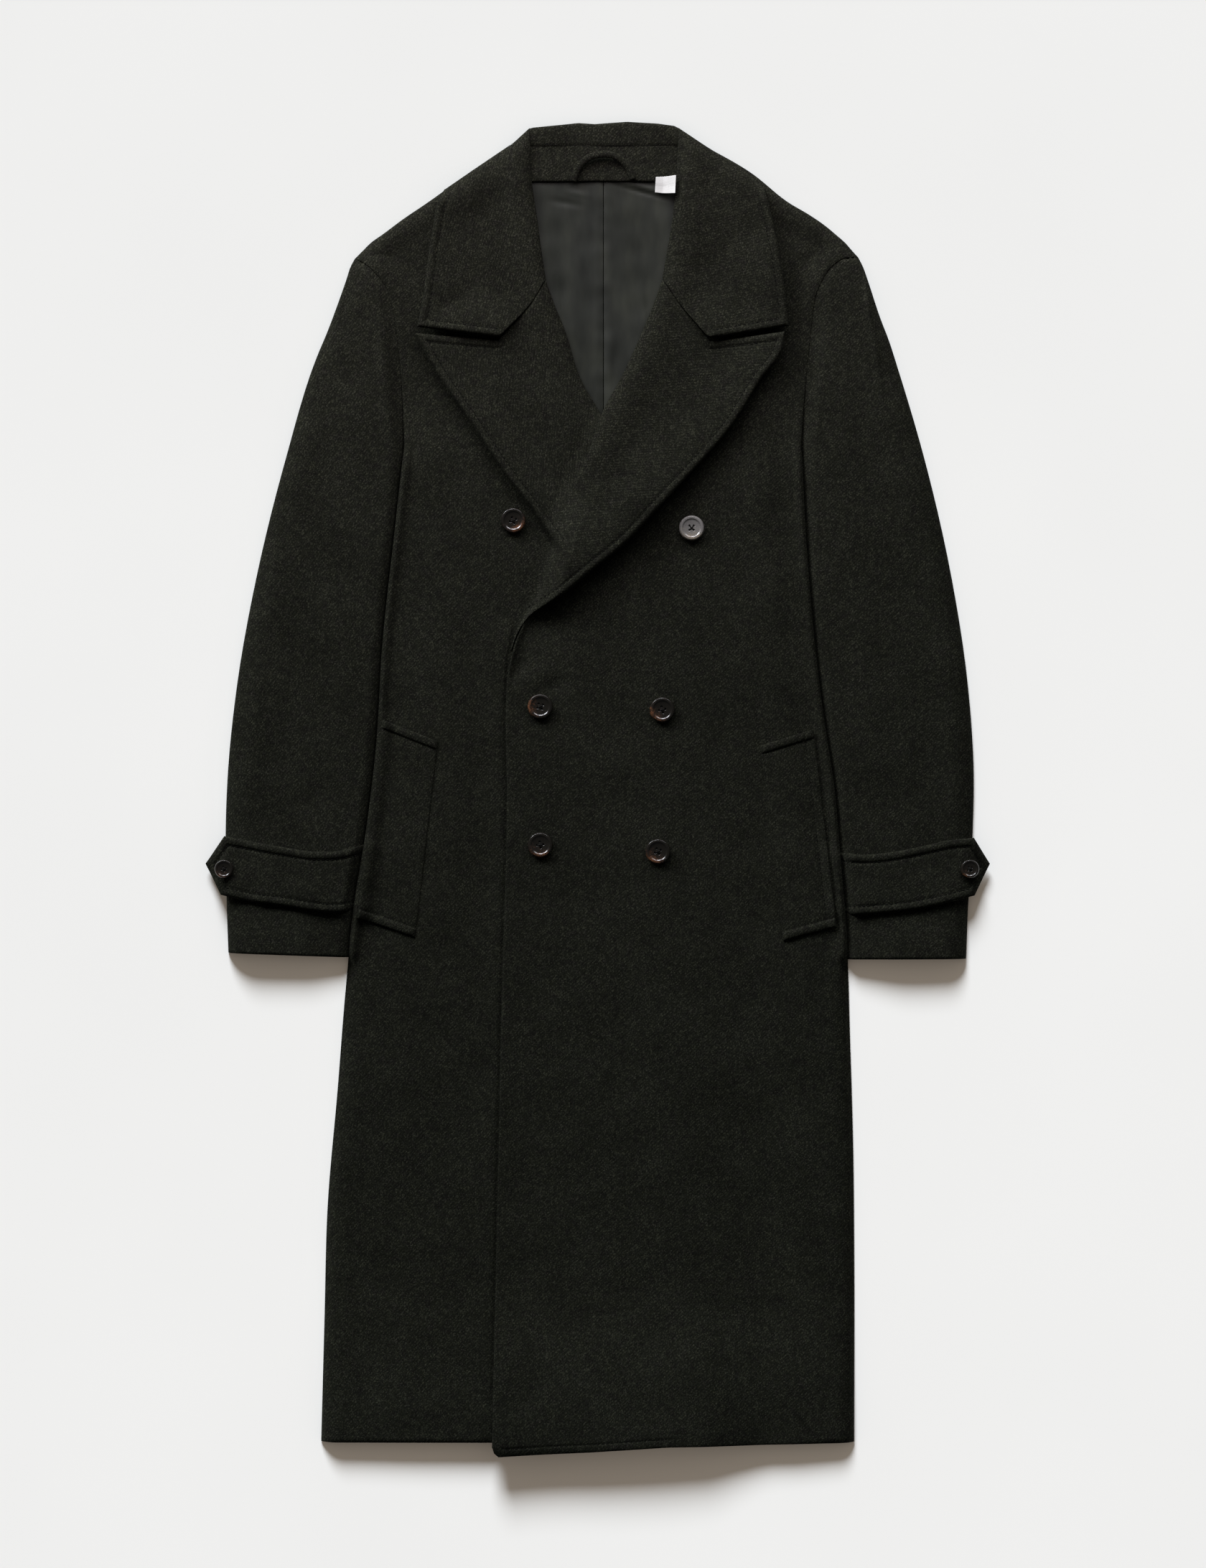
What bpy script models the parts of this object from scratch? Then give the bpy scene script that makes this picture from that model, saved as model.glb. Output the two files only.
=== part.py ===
"""Double-breasted overcoat laid flat on its back, one solid for each piece that is cut and sewn.

The coat lies on the plane z = 0, its hem towards -Y and the wearer's left towards +X.
A cloth piece is a panel: a short table of sections gives its outline, the panel is laid over
the pieces under it, and a Solidify modifier gives it its wall.
Sizes are in millimetres and are turned to metres where a mesh is made.
"""
import math
from collections import namedtuple

import bmesh
import bpy
import numpy as np
from mathutils import Vector
from mathutils.bvhtree import BVHTree

MM = 0.001

# Driving dimensions
COAT_LENGTH = 1226.0
COAT_WALL = 2.6
SLEEVE_WALL = 2.4
LAPEL_WALL = 3.0
LINING_WALL = 1.0
FACING_WALL = 2.0
SEAM_GAP = 0.3
SIDE_GAP = 0.5

# How the panels lie: the fullness of the body, and the spring of the turned-back edges
BODY_FULLNESS = 2.4
FULLNESS_RUN = 70.0
LAPEL_SPRING = 3.2
COLLAR_SPRING = 2.0
COLLAR_SPRING_DOWN = 120.0
SPRING_START = 0.4
SETTLE_PASSES = 4

# Under the front's side edge the sleeve is tucked in, and the back ends short of it
SLEEVE_TUCK = 4.0
BACK_INSET_AT_SLEEVE = 6.5
BACK_INSET_AT_SKIRT = 0.6
BACK_INSET_AT_SHOULDER = 4.0

# Columns across a panel, and how much closer they stand at its edges
FRONT_COLUMNS = 14
FRONT_CROWD = 0.35
SLEEVE_COLUMNS = 10
SLEEVE_CROWD = 0.75
LAPEL_COLUMNS = 9

# Collar roll at the back neck
NECK_SEAM_DOWN = 23.0
NECK_EASE = 1.5
STAND_TOP = 1.8
ROLL_DROP = 5.0
ROLL_HALF_WIDTH = 70.0
ROLL_MIDDLE = 6.0

# Lining seam, hanger loop and neck label
LINING_SEAM = 5.0
FACING_DEPTH = 31.0
LOOP_WIDTH = 45.0
LOOP_HEIGHT = 23.0
LOOP_THICKNESS = 3.4
LOOP_MIDDLE = 4.5
LOOP_FOOT = 53.0
LABEL_SIZE = (18.5, 16.0, 1.0)
LABEL_MIDDLE = (61.0, 59.0)

# Buttons
FRONT_BUTTON = 23.0
CUFF_BUTTON = 17.0
BUTTON_SEGMENTS = 20

# A section crosses a panel from one edge to the other: across from the middle, down from the top
Section = namedtuple("Section", "start start_down end end_down")

# Side edge of the body from the shoulder tip to the hem: armhole, then the fold of the side
SideEdge = namedtuple("SideEdge", "down right_front left_front")
SIDE_EDGE = [
    SideEdge(125, -224, 238),
    SideEdge(134, -208, 220),
    SideEdge(164, -193, 202),
    SideEdge(205, -184, 194),
    SideEdge(251, -180, 189),
    SideEdge(296, -178, 187),
    SideEdge(340, -182, 189),
    SideEdge(407, -191, 193),
    SideEdge(475, -198, 199),
    SideEdge(544, -202, 207),
    SideEdge(605, -207, 218),
    SideEdge(657, -214, 220),
    SideEdge(715, -224, 227),
    SideEdge(764, -230, 230),
    SideEdge(839, -235, 232),
    SideEdge(944, -246, 235),
    SideEdge(1050, -251, 236),
    SideEdge(1156, -253, 236),
    SideEdge(1214, -255, 236),
]

# Shoulder line from the neck to the shoulder tip
Shoulder = namedtuple("Shoulder", "down right_front left_front")
SHOULDER = [
    Shoulder(30, -92, 110),
    Shoulder(48, -121, 143),
    Shoulder(74, -157, 179),
    Shoulder(100, -197, 216),
]

# Inner edge of each front: behind the roll of lapel and collar, then the front edge
InnerEdge = namedtuple("InnerEdge", "down right_front left_front")
INNER_EDGE = [
    InnerEdge(30, -74, 84),
    InnerEdge(48, -72, 83),
    InnerEdge(74, -69, 80),
    InnerEdge(100, -66, 77),
    InnerEdge(125, -62, 72),
    InnerEdge(134, -60, 70),
    InnerEdge(164, -52, 61),
    InnerEdge(205, -37, 46),
    InnerEdge(251, -20, 26),
    InnerEdge(296, 20, 4),
    InnerEdge(340, 36, -14),
    InnerEdge(407, 62, -43),
    InnerEdge(450, 76, -58),
    InnerEdge(475, 84, -73),
    InnerEdge(500, 90, -84),
    InnerEdge(544, 92, -85),
    InnerEdge(605, 92, -83),
    InnerEdge(657, 92, -85),
    InnerEdge(715, 93, -87),
    InnerEdge(764, 93, -88),
    InnerEdge(839, 94, -89),
    InnerEdge(944, 95, -91),
    InnerEdge(1050, 96, -93),
    InnerEdge(1156, 97, -95),
    InnerEdge(1214, 98, -97),
]
HEM_CORNER = (-91.0, COAT_LENGTH)
HEM_MIDDLE = (70.0, 1216.0)

# Broad soft folds of the skirt: a ridge from its top to its foot
Fold = namedtuple("Fold", "front top top_down foot foot_down width height")
FOLDS = [
    Fold("right", -160, 800, -205, 1010, 34, 1.2),
    Fold("right", -112, 1010, -140, 1240, 40, 1.0),
    Fold("left", 40, 810, 90, 1080, 48, 1.2),
    Fold("left", 188, 840, 205, 1200, 26, 1.1),
]

# Sleeve edges: the fold at the outer side, from the shoulder tip to the cuff
SleeveEdge = namedtuple("SleeveEdge", "down right_sleeve left_sleeve")
SLEEVE_EDGE = [
    SleeveEdge(124, -227, 241),
    SleeveEdge(136, -231, 246),
    SleeveEdge(152, -235, 250),
    SleeveEdge(205, -255, 269),
    SleeveEdge(258, -273, 285),
    SleeveEdge(311, -287, 300),
    SleeveEdge(364, -301, 313),
    SleeveEdge(416, -313, 324),
    SleeveEdge(469, -323, 334),
    SleeveEdge(522, -332, 340),
    SleeveEdge(575, -338, 344),
    SleeveEdge(628, -341, 345),
    SleeveEdge(657, -342, 344),
    SleeveEdge(733, -340, 339),
    SleeveEdge(767, -339, 338),
]
SleeveRise = namedtuple("SleeveRise", "down rise")
SLEEVE_RISE = [
    SleeveRise(124, 0.8),
    SleeveRise(200, 3.0),
    SleeveRise(600, 3.5),
    SleeveRise(767, 2.4),
]

# Peak lapels, from the roll across knee and notch of the gorge seam to the outer edge
LapelTop = namedtuple("LapelTop", "roll knee notch peak")
LAPEL_LEFT_TOP = LapelTop((59, 146), (74, 171), (102, 200.5), (172, 196))
LAPEL_RIGHT_TOP = LapelTop((-48, 146), (-62, 171), (-91, 200.5), (-168, 196))
LAPEL_LEFT = [
    Section(43, 190, 160, 222),
    Section(24, 231, 136, 261),
    Section(3, 271, 106, 301),
    Section(-10, 308, 86, 324),
    Section(-22, 336, 65, 347),
    Section(-36, 361, 45, 368),
    Section(-44, 380, 26, 388),
    Section(-52, 407, -7, 415),
    Section(-59, 436, -34, 436),
    Section(-65, 451, -56, 450),
    Section(-71, 461, -69, 460),
]
LAPEL_RIGHT = [
    Section(-31, 190, -155, 220),
    Section(-16, 236, -130, 259),
    Section(3, 270, -112, 285),
    Section(20, 308, -95, 311),
    Section(30, 335, -79, 333),
    Section(30, 360, -62, 356),
    Section(24, 384, -40, 386),
]

# Collar leaves, from the roll to the outer edge, and the lower edge along the gorge
COLLAR_LEFT = [
    Section(75, 6, 80, 9),
    Section(73, 29, 110, 28),
    Section(72, 53, 142, 47),
    Section(70, 75, 158, 68),
    Section(67, 99, 163, 99),
    Section(64, 122, 169, 134),
]
COLLAR_LEFT_FOOT = LapelTop((59.2, 144.6), (74.5, 169), (101.5, 198.2), (176, 189))
COLLAR_RIGHT = [
    Section(-64, 7, -69, 10),
    Section(-62, 29, -92, 28),
    Section(-61, 53, -121, 47),
    Section(-59, 75, -146, 68),
    Section(-55, 99, -151, 99),
    Section(-51, 122, -157, 134),
]
COLLAR_RIGHT_FOOT = LapelTop((-48.2, 144.6), (-62.5, 169), (-90.5, 198.2), (-166, 187))

# Inside of the collar fold at the back neck: depth from the roll, and height
FoldPoint = namedtuple("FoldPoint", "depth height")
STAND_FOLD = [
    FoldPoint(20.0, 5.2),
    FoldPoint(13.0, 5.9),
    FoldPoint(6.0, 6.1),
    FoldPoint(2.0, 5.6),
    FoldPoint(0.6, 4.2),
    FoldPoint(2.0, 2.8),
    FoldPoint(6.0, 2.4),
    FoldPoint(19.0, 2.4),
]

# Lining halves: half width that shows, with what is tucked under the lapels
LiningEdge = namedtuple("LiningEdge", "down right_half left_half")
LINING_EDGE = [
    LiningEdge(54.5, -72, 84),
    LiningEdge(100, -66, 78),
    LiningEdge(145, -60, 71),
    LiningEdge(190, -43, 54),
    LiningEdge(236, -28, 34),
    LiningEdge(285, -8, 14),
]

# Cuff straps from the pointed end to the inner seam: upper and lower edge
StrapRow = namedtuple("StrapRow", "across upper lower")
STRAP_RIGHT = [
    StrapRow(-359, 681, 684),
    StrapRow(-343, 657, 712),
    StrapRow(-318, 661, 717),
    StrapRow(-300, 665, 720),
    StrapRow(-271, 671, 724),
    StrapRow(-247, 672, 727),
    StrapRow(-220, 667, 725),
]
STRAP_LEFT = [
    StrapRow(359, 681, 684),
    StrapRow(345, 659, 712),
    StrapRow(321, 661, 719),
    StrapRow(294, 668, 725),
    StrapRow(267, 673, 728),
    StrapRow(240, 675, 729),
    StrapRow(224, 673, 729),
]
STRAP_TIP_HEIGHT = 5.8

# Pocket welts: upper end, then lower end, each from the inner to the outer corner
WELT_RIGHT = [Section(-147, 570, -198, 550), Section(-168, 750, -221, 732)]
WELT_LEFT = [Section(149, 574, 198, 559), Section(170, 753, 219, 740)]

Button = namedtuple("Button", "name across down diameter lies_on")
BUTTONS = [
    Button("button_upper_right", -78, 367, FRONT_BUTTON, "front_right"),
    Button("button_upper_left", 86, 374, FRONT_BUTTON, "front_left"),
    Button("button_middle_right", -53, 538, FRONT_BUTTON, "front_left"),
    Button("button_middle_left", 59, 541, FRONT_BUTTON, "front_left"),
    Button("button_lower_right", -53, 665, FRONT_BUTTON, "front_left"),
    Button("button_lower_left", 55, 671, FRONT_BUTTON, "front_left"),
    Button("cuff_button_right", -343, 687, CUFF_BUTTON, "cuff_strap_right"),
    Button("cuff_button_left", 341, 687, CUFF_BUTTON, "cuff_strap_left"),
]

# Half section of a button of unit diameter, down its outer side
TurnPoint = namedtuple("TurnPoint", "radius height")
BUTTON_PROFILE = [
    TurnPoint(0.0, 0.115),
    TurnPoint(0.29, 0.12),
    TurnPoint(0.35, 0.165),
    TurnPoint(0.43, 0.18),
    TurnPoint(0.49, 0.15),
    TurnPoint(0.5, 0.09),
    TurnPoint(0.4, 0.0),
    TurnPoint(0.0, 0.0),
]

Finish = namedtuple("Finish", "name colour roughness")
WOOL = Finish("wool_twill", (0.016, 0.017, 0.012), 0.9)
SATIN = Finish("lining_satin", (0.034, 0.034, 0.032), 0.45)
HORN = Finish("horn_button", (0.012, 0.009, 0.008), 0.3)
LABEL = Finish("woven_label", (0.8, 0.8, 0.78), 0.8)

SKY = 200.0
DOWNWARD = Vector((0.0, 0.0, -1.0))


def clear_scene():
    """Remove whatever objects the file opened with."""
    for item in list(bpy.data.objects):
        bpy.data.objects.remove(item, do_unlink=True)


def finish_material(finish):
    """Principled material of a finish, made once."""
    material = bpy.data.materials.get(finish.name)
    if material is None:
        material = bpy.data.materials.new(finish.name)
        material.use_nodes = True
        shader = material.node_tree.nodes["Principled BSDF"]
        shader.inputs["Base Color"].default_value = (*finish.colour, 1.0)
        shader.inputs["Roughness"].default_value = finish.roughness
        shader.inputs["Metallic"].default_value = 0.0
    return material


def add_object(name, data, finish):
    """Link a mesh or curve as a named piece of the coat."""
    piece = bpy.data.objects.new(name, data)
    coat.objects.link(piece)
    data.materials.append(finish_material(finish))
    return piece


def column_shares(columns, crowd):
    """Shares of the way across a panel; crowd above 0 brings the columns closer at both edges."""
    even = np.linspace(0.0, 1.0, columns + 1)
    return even - crowd * np.sin(2.0 * np.pi * even) / (2.0 * np.pi)


def panel_points(sections, columns, step, crowd=0.0):
    """Rows of (across, down) points: every section split into columns, rows no further than step."""
    shares = column_shares(columns, crowd)
    lines = []
    for section in sections:
        corners = np.array(section, dtype=float).reshape(-1, 2)
        knots = np.arange(len(corners))
        index = shares * (len(corners) - 1)
        lines.append(np.stack([np.interp(index, knots, corners[:, k]) for k in (0, 1)], axis=1))
    rows = [lines[0]]
    for line, following in zip(lines, lines[1:]):
        longest = np.linalg.norm(following - line, axis=1).max()
        parts = max(1, math.ceil(longest / step))
        rows += [line + (following - line) * k / parts for k in range(1, parts + 1)]
    return np.array(rows)


def finer(values, axis, parts=3):
    """Linear values between the grid's own, parts to each cell along one axis."""
    count = values.shape[axis]
    knots = np.arange(count)
    index = np.linspace(0, count - 1, parts * (count - 1) + 1)
    return np.apply_along_axis(lambda line: np.interp(index, knots, line), axis, values)


def top_of(pieces, across, down):
    """Height of the highest surface of the pieces at one place, 0 where there is none."""
    start = Vector((across, COAT_LENGTH / 2 - down, SKY)) * MM
    hits = [tree.ray_cast(start, DOWNWARD)[0] for tree in pieces]
    return max([hit.z / MM for hit in hits if hit is not None], default=0.0)


def surfaces(names):
    """Search trees of finished pieces, by name."""
    bpy.context.view_layer.update()
    graph = bpy.context.evaluated_depsgraph_get()
    return [BVHTree.FromObject(bpy.data.objects[name], graph) for name in names]


def settle(height):
    """Raise hollows towards the mean of their neighbours, as cloth bridges a step."""
    for _ in range(SETTLE_PASSES):
        edge = np.pad(height, 1, mode="edge")
        mean = (edge[:-2, 1:-1] + edge[2:, 1:-1] + edge[1:-1, :-2] + edge[1:-1, 2:]) / 4
        height = np.maximum(height, mean)
    return height


def lay_over(points, names, least=0.0, gap=SEAM_GAP):
    """Underside of a panel that lies on the named pieces: their highest point in the cells around."""
    pieces = surfaces(names)
    fine = finer(finer(points, 0), 1)
    tops = np.array([[top_of(pieces, *place) for place in row] for row in fine])
    rows, columns = points.shape[:2]
    height = np.zeros((rows, columns))
    for i in range(rows):
        for j in range(columns):
            around = tops[max(0, 3 * i - 3):3 * i + 4, max(0, 3 * j - 3):3 * j + 4]
            height[i, j] = around.max()
    return settle(np.maximum(height + gap, least))


def cloth(name, points, underside, wall, finish=WOOL):
    """Panel as an open grid on its underside, with its wall built outwards by Solidify."""
    rows, columns = underside.shape
    mesh = bpy.data.meshes.new(name)
    grid = bmesh.new()
    bmesh.ops.create_grid(grid, x_segments=columns - 1, y_segments=rows - 1, size=1.0)
    grid.to_mesh(mesh)
    grid.free()
    places = np.dstack([points[..., 0], COAT_LENGTH / 2 - points[..., 1], underside]) * MM
    mesh.vertices.foreach_set("co", places.reshape(-1).astype(np.float32))
    mesh.update()
    if sum(face.normal.z * face.area for face in mesh.polygons) < 0.0:
        mesh.flip_normals()
    mesh.shade_smooth()
    piece = add_object(name, mesh, finish)
    wall_modifier = piece.modifiers.new("wall", "SOLIDIFY")
    wall_modifier.thickness = wall * MM
    wall_modifier.offset = 1.0
    return piece


def smooth_step(share):
    """Ease from 0 to 1."""
    share = np.clip(share, 0.0, 1.0)
    return share * share * (3.0 - 2.0 * share)


def read(table, column, down):
    """Value of a table's column at a distance down."""
    return float(np.interp(down, [row.down for row in table], [getattr(row, column) for row in table]))


def make_back():
    """One flat panel from the neck seam to the hem, short of the sleeves at its sides."""
    neck = NECK_SEAM_DOWN + NECK_EASE
    half = ROLL_HALF_WIDTH - BACK_INSET_AT_SHOULDER
    sections = [Section(ROLL_MIDDLE - half, neck, ROLL_MIDDLE + half, neck)]
    for row in SHOULDER[1:] + SIDE_EDGE:
        inset = BACK_INSET_AT_SHOULDER
        if row in SIDE_EDGE:
            beside_sleeve = row.down <= SLEEVE_EDGE[-1].down
            inset = BACK_INSET_AT_SLEEVE if beside_sleeve else BACK_INSET_AT_SKIRT
        sections.append(Section(row.right_front + inset, row.down, row.left_front - inset, row.down))
    points = panel_points(sections, columns=6, step=60.0)
    cloth("back", points, np.zeros(points.shape[:2]), COAT_WALL)


def make_sleeve(side, tuck):
    """Two-piece sleeve: a flat under sleeve, and a top sleeve that arches over it."""
    column = side + "_sleeve"
    sections = []
    for row in SLEEVE_EDGE:
        inner = read(SIDE_EDGE, side + "_front", row.down) + tuck
        sections.append(Section(getattr(row, column), row.down, inner, row.down))
    under = panel_points(sections, columns=4, step=80.0)
    cloth(f"sleeve_{side}_under", under, np.zeros(under.shape[:2]), SLEEVE_WALL)
    top = panel_points(sections, SLEEVE_COLUMNS, step=45.0, crowd=SLEEVE_CROWD)
    shares = column_shares(SLEEVE_COLUMNS, SLEEVE_CROWD)
    arch = np.sqrt(1.0 - np.abs(2.0 * shares - 1.0) ** 3)
    downs = [row.down for row in SLEEVE_RISE]
    rise = np.interp(top[..., 1], downs, [row.rise for row in SLEEVE_RISE])
    underside = SLEEVE_WALL + SEAM_GAP + rise * arch[None, :]
    cloth(f"sleeve_{side}_top", top, underside, COAT_WALL)


def make_strap(name, table, sleeve):
    """Cuff strap on the top sleeve; its pointed end stands out level past the sleeve's fold."""
    sections = [Section(row.across, row.upper, row.across, row.lower) for row in table]
    points = panel_points(sections, columns=3, step=16.0)
    underside = lay_over(points, [sleeve], least=STRAP_TIP_HEIGHT)
    cloth(name, points, underside, SLEEVE_WALL)


def make_neck():
    """Collar stand with its roll, back-neck facing, lining halves, hanger loop and label."""
    across = np.linspace(ROLL_MIDDLE - ROLL_HALF_WIDTH, ROLL_MIDDLE + ROLL_HALF_WIDTH, 11)
    drop = ROLL_DROP * ((across - ROLL_MIDDLE) / ROLL_HALF_WIDTH) ** 2
    depth = np.array([point.depth for point in STAND_FOLD])
    height = np.array([point.height for point in STAND_FOLD])
    fade = np.clip(depth / NECK_SEAM_DOWN, 0.0, 1.0)
    down = STAND_TOP + depth[:, None] + drop[None, :] * (1.0 - fade[:, None])
    points = np.dstack([np.broadcast_to(across, down.shape), down])
    underside = np.broadcast_to(height[:, None], down.shape)
    stand = cloth("collar_stand", points, underside, SLEEVE_WALL)
    if stand.data.polygons[0].normal.z < 0.0:
        stand.data.flip_normals()

    ends = (ROLL_MIDDLE - ROLL_HALF_WIDTH, ROLL_MIDDLE + ROLL_HALF_WIDTH)
    facing_foot = NECK_SEAM_DOWN + FACING_DEPTH
    sections = [Section(ends[0], down, ends[1], down) for down in (NECK_SEAM_DOWN + NECK_EASE, facing_foot)]
    points = panel_points(sections, columns=6, step=20.0)
    level = COAT_WALL + SEAM_GAP
    cloth("neck_facing", points, np.full(points.shape[:2], level), FACING_WALL)

    for side, edge in (("right", -SIDE_GAP), ("left", SIDE_GAP)):
        sections = [
            Section(getattr(row, side + "_half"), row.down, LINING_SEAM + edge, row.down)
            for row in LINING_EDGE
        ]
        points = panel_points(sections, columns=4, step=40.0)
        cloth("lining_" + side, points, np.full(points.shape[:2], level), LINING_WALL, SATIN)


def make_loop_and_label(facing_level):
    """Hanger loop, a half ring of cord on the facing, and the bare label beside it."""
    curve = bpy.data.curves.new("hanger_loop", "CURVE")
    curve.dimensions = "3D"
    curve.bevel_depth = LOOP_THICKNESS / 2 * MM
    curve.bevel_resolution = 2
    curve.use_fill_caps = True
    spline = curve.splines.new("POLY")
    turns = np.linspace(0.0, np.pi, 13)
    spline.points.add(len(turns) - 1)
    height = facing_level + SEAM_GAP + LOOP_THICKNESS / 2
    for point, turn in zip(spline.points, turns):
        across = LOOP_MIDDLE - LOOP_WIDTH / 2 * math.cos(turn)
        down = LOOP_FOOT - LOOP_HEIGHT * math.sin(turn)
        point.co = (across * MM, (COAT_LENGTH / 2 - down) * MM, height * MM, 1.0)
    add_object("hanger_loop", curve, WOOL)

    mesh = bpy.data.meshes.new("neck_label")
    block = bmesh.new()
    bmesh.ops.create_cube(block, size=1.0)
    bmesh.ops.scale(block, vec=Vector(LABEL_SIZE) * MM, verts=block.verts)
    block.to_mesh(mesh)
    block.free()
    label = add_object("neck_label", mesh, LABEL)
    across, down = LABEL_MIDDLE
    level = facing_level + SEAM_GAP + LABEL_SIZE[2] / 2
    label.location = Vector((across, COAT_LENGTH / 2 - down, level)) * MM


def fold_height(fold, points):
    """Soft ridge: a bell across the line from top to foot, fading out at both ends."""
    start = np.array([fold.top, fold.top_down])
    line = np.array([fold.foot, fold.foot_down]) - start
    length = np.linalg.norm(line)
    along = (points - start) @ line / length ** 2
    aside = (points - start) @ np.array([-line[1], line[0]]) / length
    fade = smooth_step(1.0 + 2.0 * np.minimum(along, 1.0 - along))
    return fold.height * np.exp(-(aside / fold.width) ** 2) * fade


def make_front(side, below):
    """Front panel from the shoulder to the hem, laid over what is under it, a little full."""
    column = side + "_front"
    downs = sorted({row.down for row in SHOULDER + SIDE_EDGE + INNER_EDGE})
    edge_table = SHOULDER + SIDE_EDGE
    sections = []
    for down in downs:
        outer = read(edge_table, column, down)
        sections.append(Section(read(INNER_EDGE, column, down), down, outer, down))
    if side == "left":
        last = sections.pop()
        sections.append((*HEM_CORNER, *HEM_MIDDLE, last.end, last.end_down))
    points = panel_points(sections, FRONT_COLUMNS, step=48.0, crowd=FRONT_CROWD)
    outer = points[:, -1:, 0]
    run = np.abs(points[..., 0] - outer) / FULLNESS_RUN
    fullness = COAT_WALL + SEAM_GAP + BODY_FULLNESS * smooth_step(run)
    for fold in FOLDS:
        if fold.front == side:
            fullness = fullness + fold_height(fold, points)
    underside = lay_over(points, below, least=fullness)
    cloth("front_" + side, points, underside, COAT_WALL)


def make_lapel(name, top, sections, below):
    """Turned-back lapel: its roll drops over the front's inner edge, its outer edge springs up."""
    rows = [sum(top, ())] + list(sections)
    points = panel_points(rows, LAPEL_COLUMNS, step=28.0)
    shares = column_shares(LAPEL_COLUMNS, 0.0)
    spring = LAPEL_SPRING * smooth_step((shares - SPRING_START) / (1.0 - SPRING_START))
    underside = lay_over(points, below) + spring[None, :]
    cloth(name, points, underside, LAPEL_WALL)


def make_collar(name, sections, foot, below):
    """Collar leaf from the corner of the roll down to its point."""
    rows = list(sections) + [sum(foot, ())]
    points = panel_points(rows, LAPEL_COLUMNS, step=28.0)
    shares = column_shares(LAPEL_COLUMNS, 0.0)
    spring = COLLAR_SPRING * smooth_step((shares - SPRING_START) / (1.0 - SPRING_START))
    lower = smooth_step(points[..., 1] / COLLAR_SPRING_DOWN)
    underside = lay_over(points, below) + spring[None, :] * lower
    cloth(name, points, underside, LAPEL_WALL)


def make_welt(name, sections, front):
    """Pocket welt sewn on a front."""
    points = panel_points(sections, columns=3, step=24.0)
    cloth(name, points, lay_over(points, [front]), SLEEVE_WALL)


def make_button(button):
    """Turned button with a dished face, lying on its panel."""
    mesh = bpy.data.meshes.new(button.name)
    size = button.diameter * MM
    corners = [(point.radius * size, 0.0, point.height * size) for point in BUTTON_PROFILE]
    edges = [(k, k + 1) for k in range(len(corners) - 1)]
    mesh.from_pydata(corners, edges, [])
    piece = add_object(button.name, mesh, HORN)
    turn = piece.modifiers.new("turn", "SCREW")
    turn.steps = BUTTON_SEGMENTS
    turn.render_steps = BUTTON_SEGMENTS
    turn.use_merge_vertices = True
    turn.merge_threshold = 0.00002
    turn.use_smooth_shade = True
    pieces = surfaces([button.lies_on])
    rim = button.diameter / 2
    angles = np.linspace(0.0, 2.0 * np.pi, 16, endpoint=False)
    places = [(button.across, button.down)]
    for share in (0.5, 1.0):
        for angle in angles:
            places.append((button.across + share * rim * math.cos(angle),
                           button.down + share * rim * math.sin(angle)))
    level = max(top_of(pieces, *place) for place in places) + SEAM_GAP
    piece.location = Vector((button.across, COAT_LENGTH / 2 - button.down, level)) * MM


clear_scene()
coat = bpy.data.collections.new("double_breasted_overcoat")
bpy.context.scene.collection.children.link(coat)

make_back()
make_sleeve("right", SLEEVE_TUCK)
make_sleeve("left", -SLEEVE_TUCK)
make_strap("cuff_strap_right", STRAP_RIGHT, "sleeve_right_top")
make_strap("cuff_strap_left", STRAP_LEFT, "sleeve_left_top")
make_neck()

INSIDE = ["back", "lining_right", "lining_left", "neck_facing", "collar_stand"]
make_front("right", INSIDE + ["sleeve_right_top", "cuff_strap_right"])
make_lapel("lapel_right", LAPEL_RIGHT_TOP, LAPEL_RIGHT, INSIDE + ["front_right"])
under_left = INSIDE + ["front_right", "lapel_right", "sleeve_left_top", "cuff_strap_left"]
make_front("left", under_left)
make_lapel("lapel_left", LAPEL_LEFT_TOP, LAPEL_LEFT, INSIDE + ["front_right", "lapel_right", "front_left"])
make_collar("collar_right", COLLAR_RIGHT, COLLAR_RIGHT_FOOT, INSIDE + ["front_right"])
make_collar("collar_left", COLLAR_LEFT, COLLAR_LEFT_FOOT, INSIDE + ["front_left"])
make_loop_and_label(COAT_WALL + SEAM_GAP + FACING_WALL)
make_welt("pocket_welt_right", WELT_RIGHT, "front_right")
make_welt("pocket_welt_left", WELT_LEFT, "front_left")
for button in BUTTONS:
    make_button(button)
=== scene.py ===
# %% [markdown]
# # A double-breasted overcoat, laid flat
#
# The coat is wool twill, lined, and lies on its back on a pale surface. Cloth that lies flat is a
# stack: back, sleeves, lining, fronts, lapels, collar. Each piece here is a sheet worked out on a
# grid of two parameters, laid on a height map of everything under it, and then given its wall.
# A cloth simulation could drop the pieces onto each other, but the tailor's shape (crisp edges,
# pressed rolls) comes out better when it is computed.

# %% Load the fixed frame
import math

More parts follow.
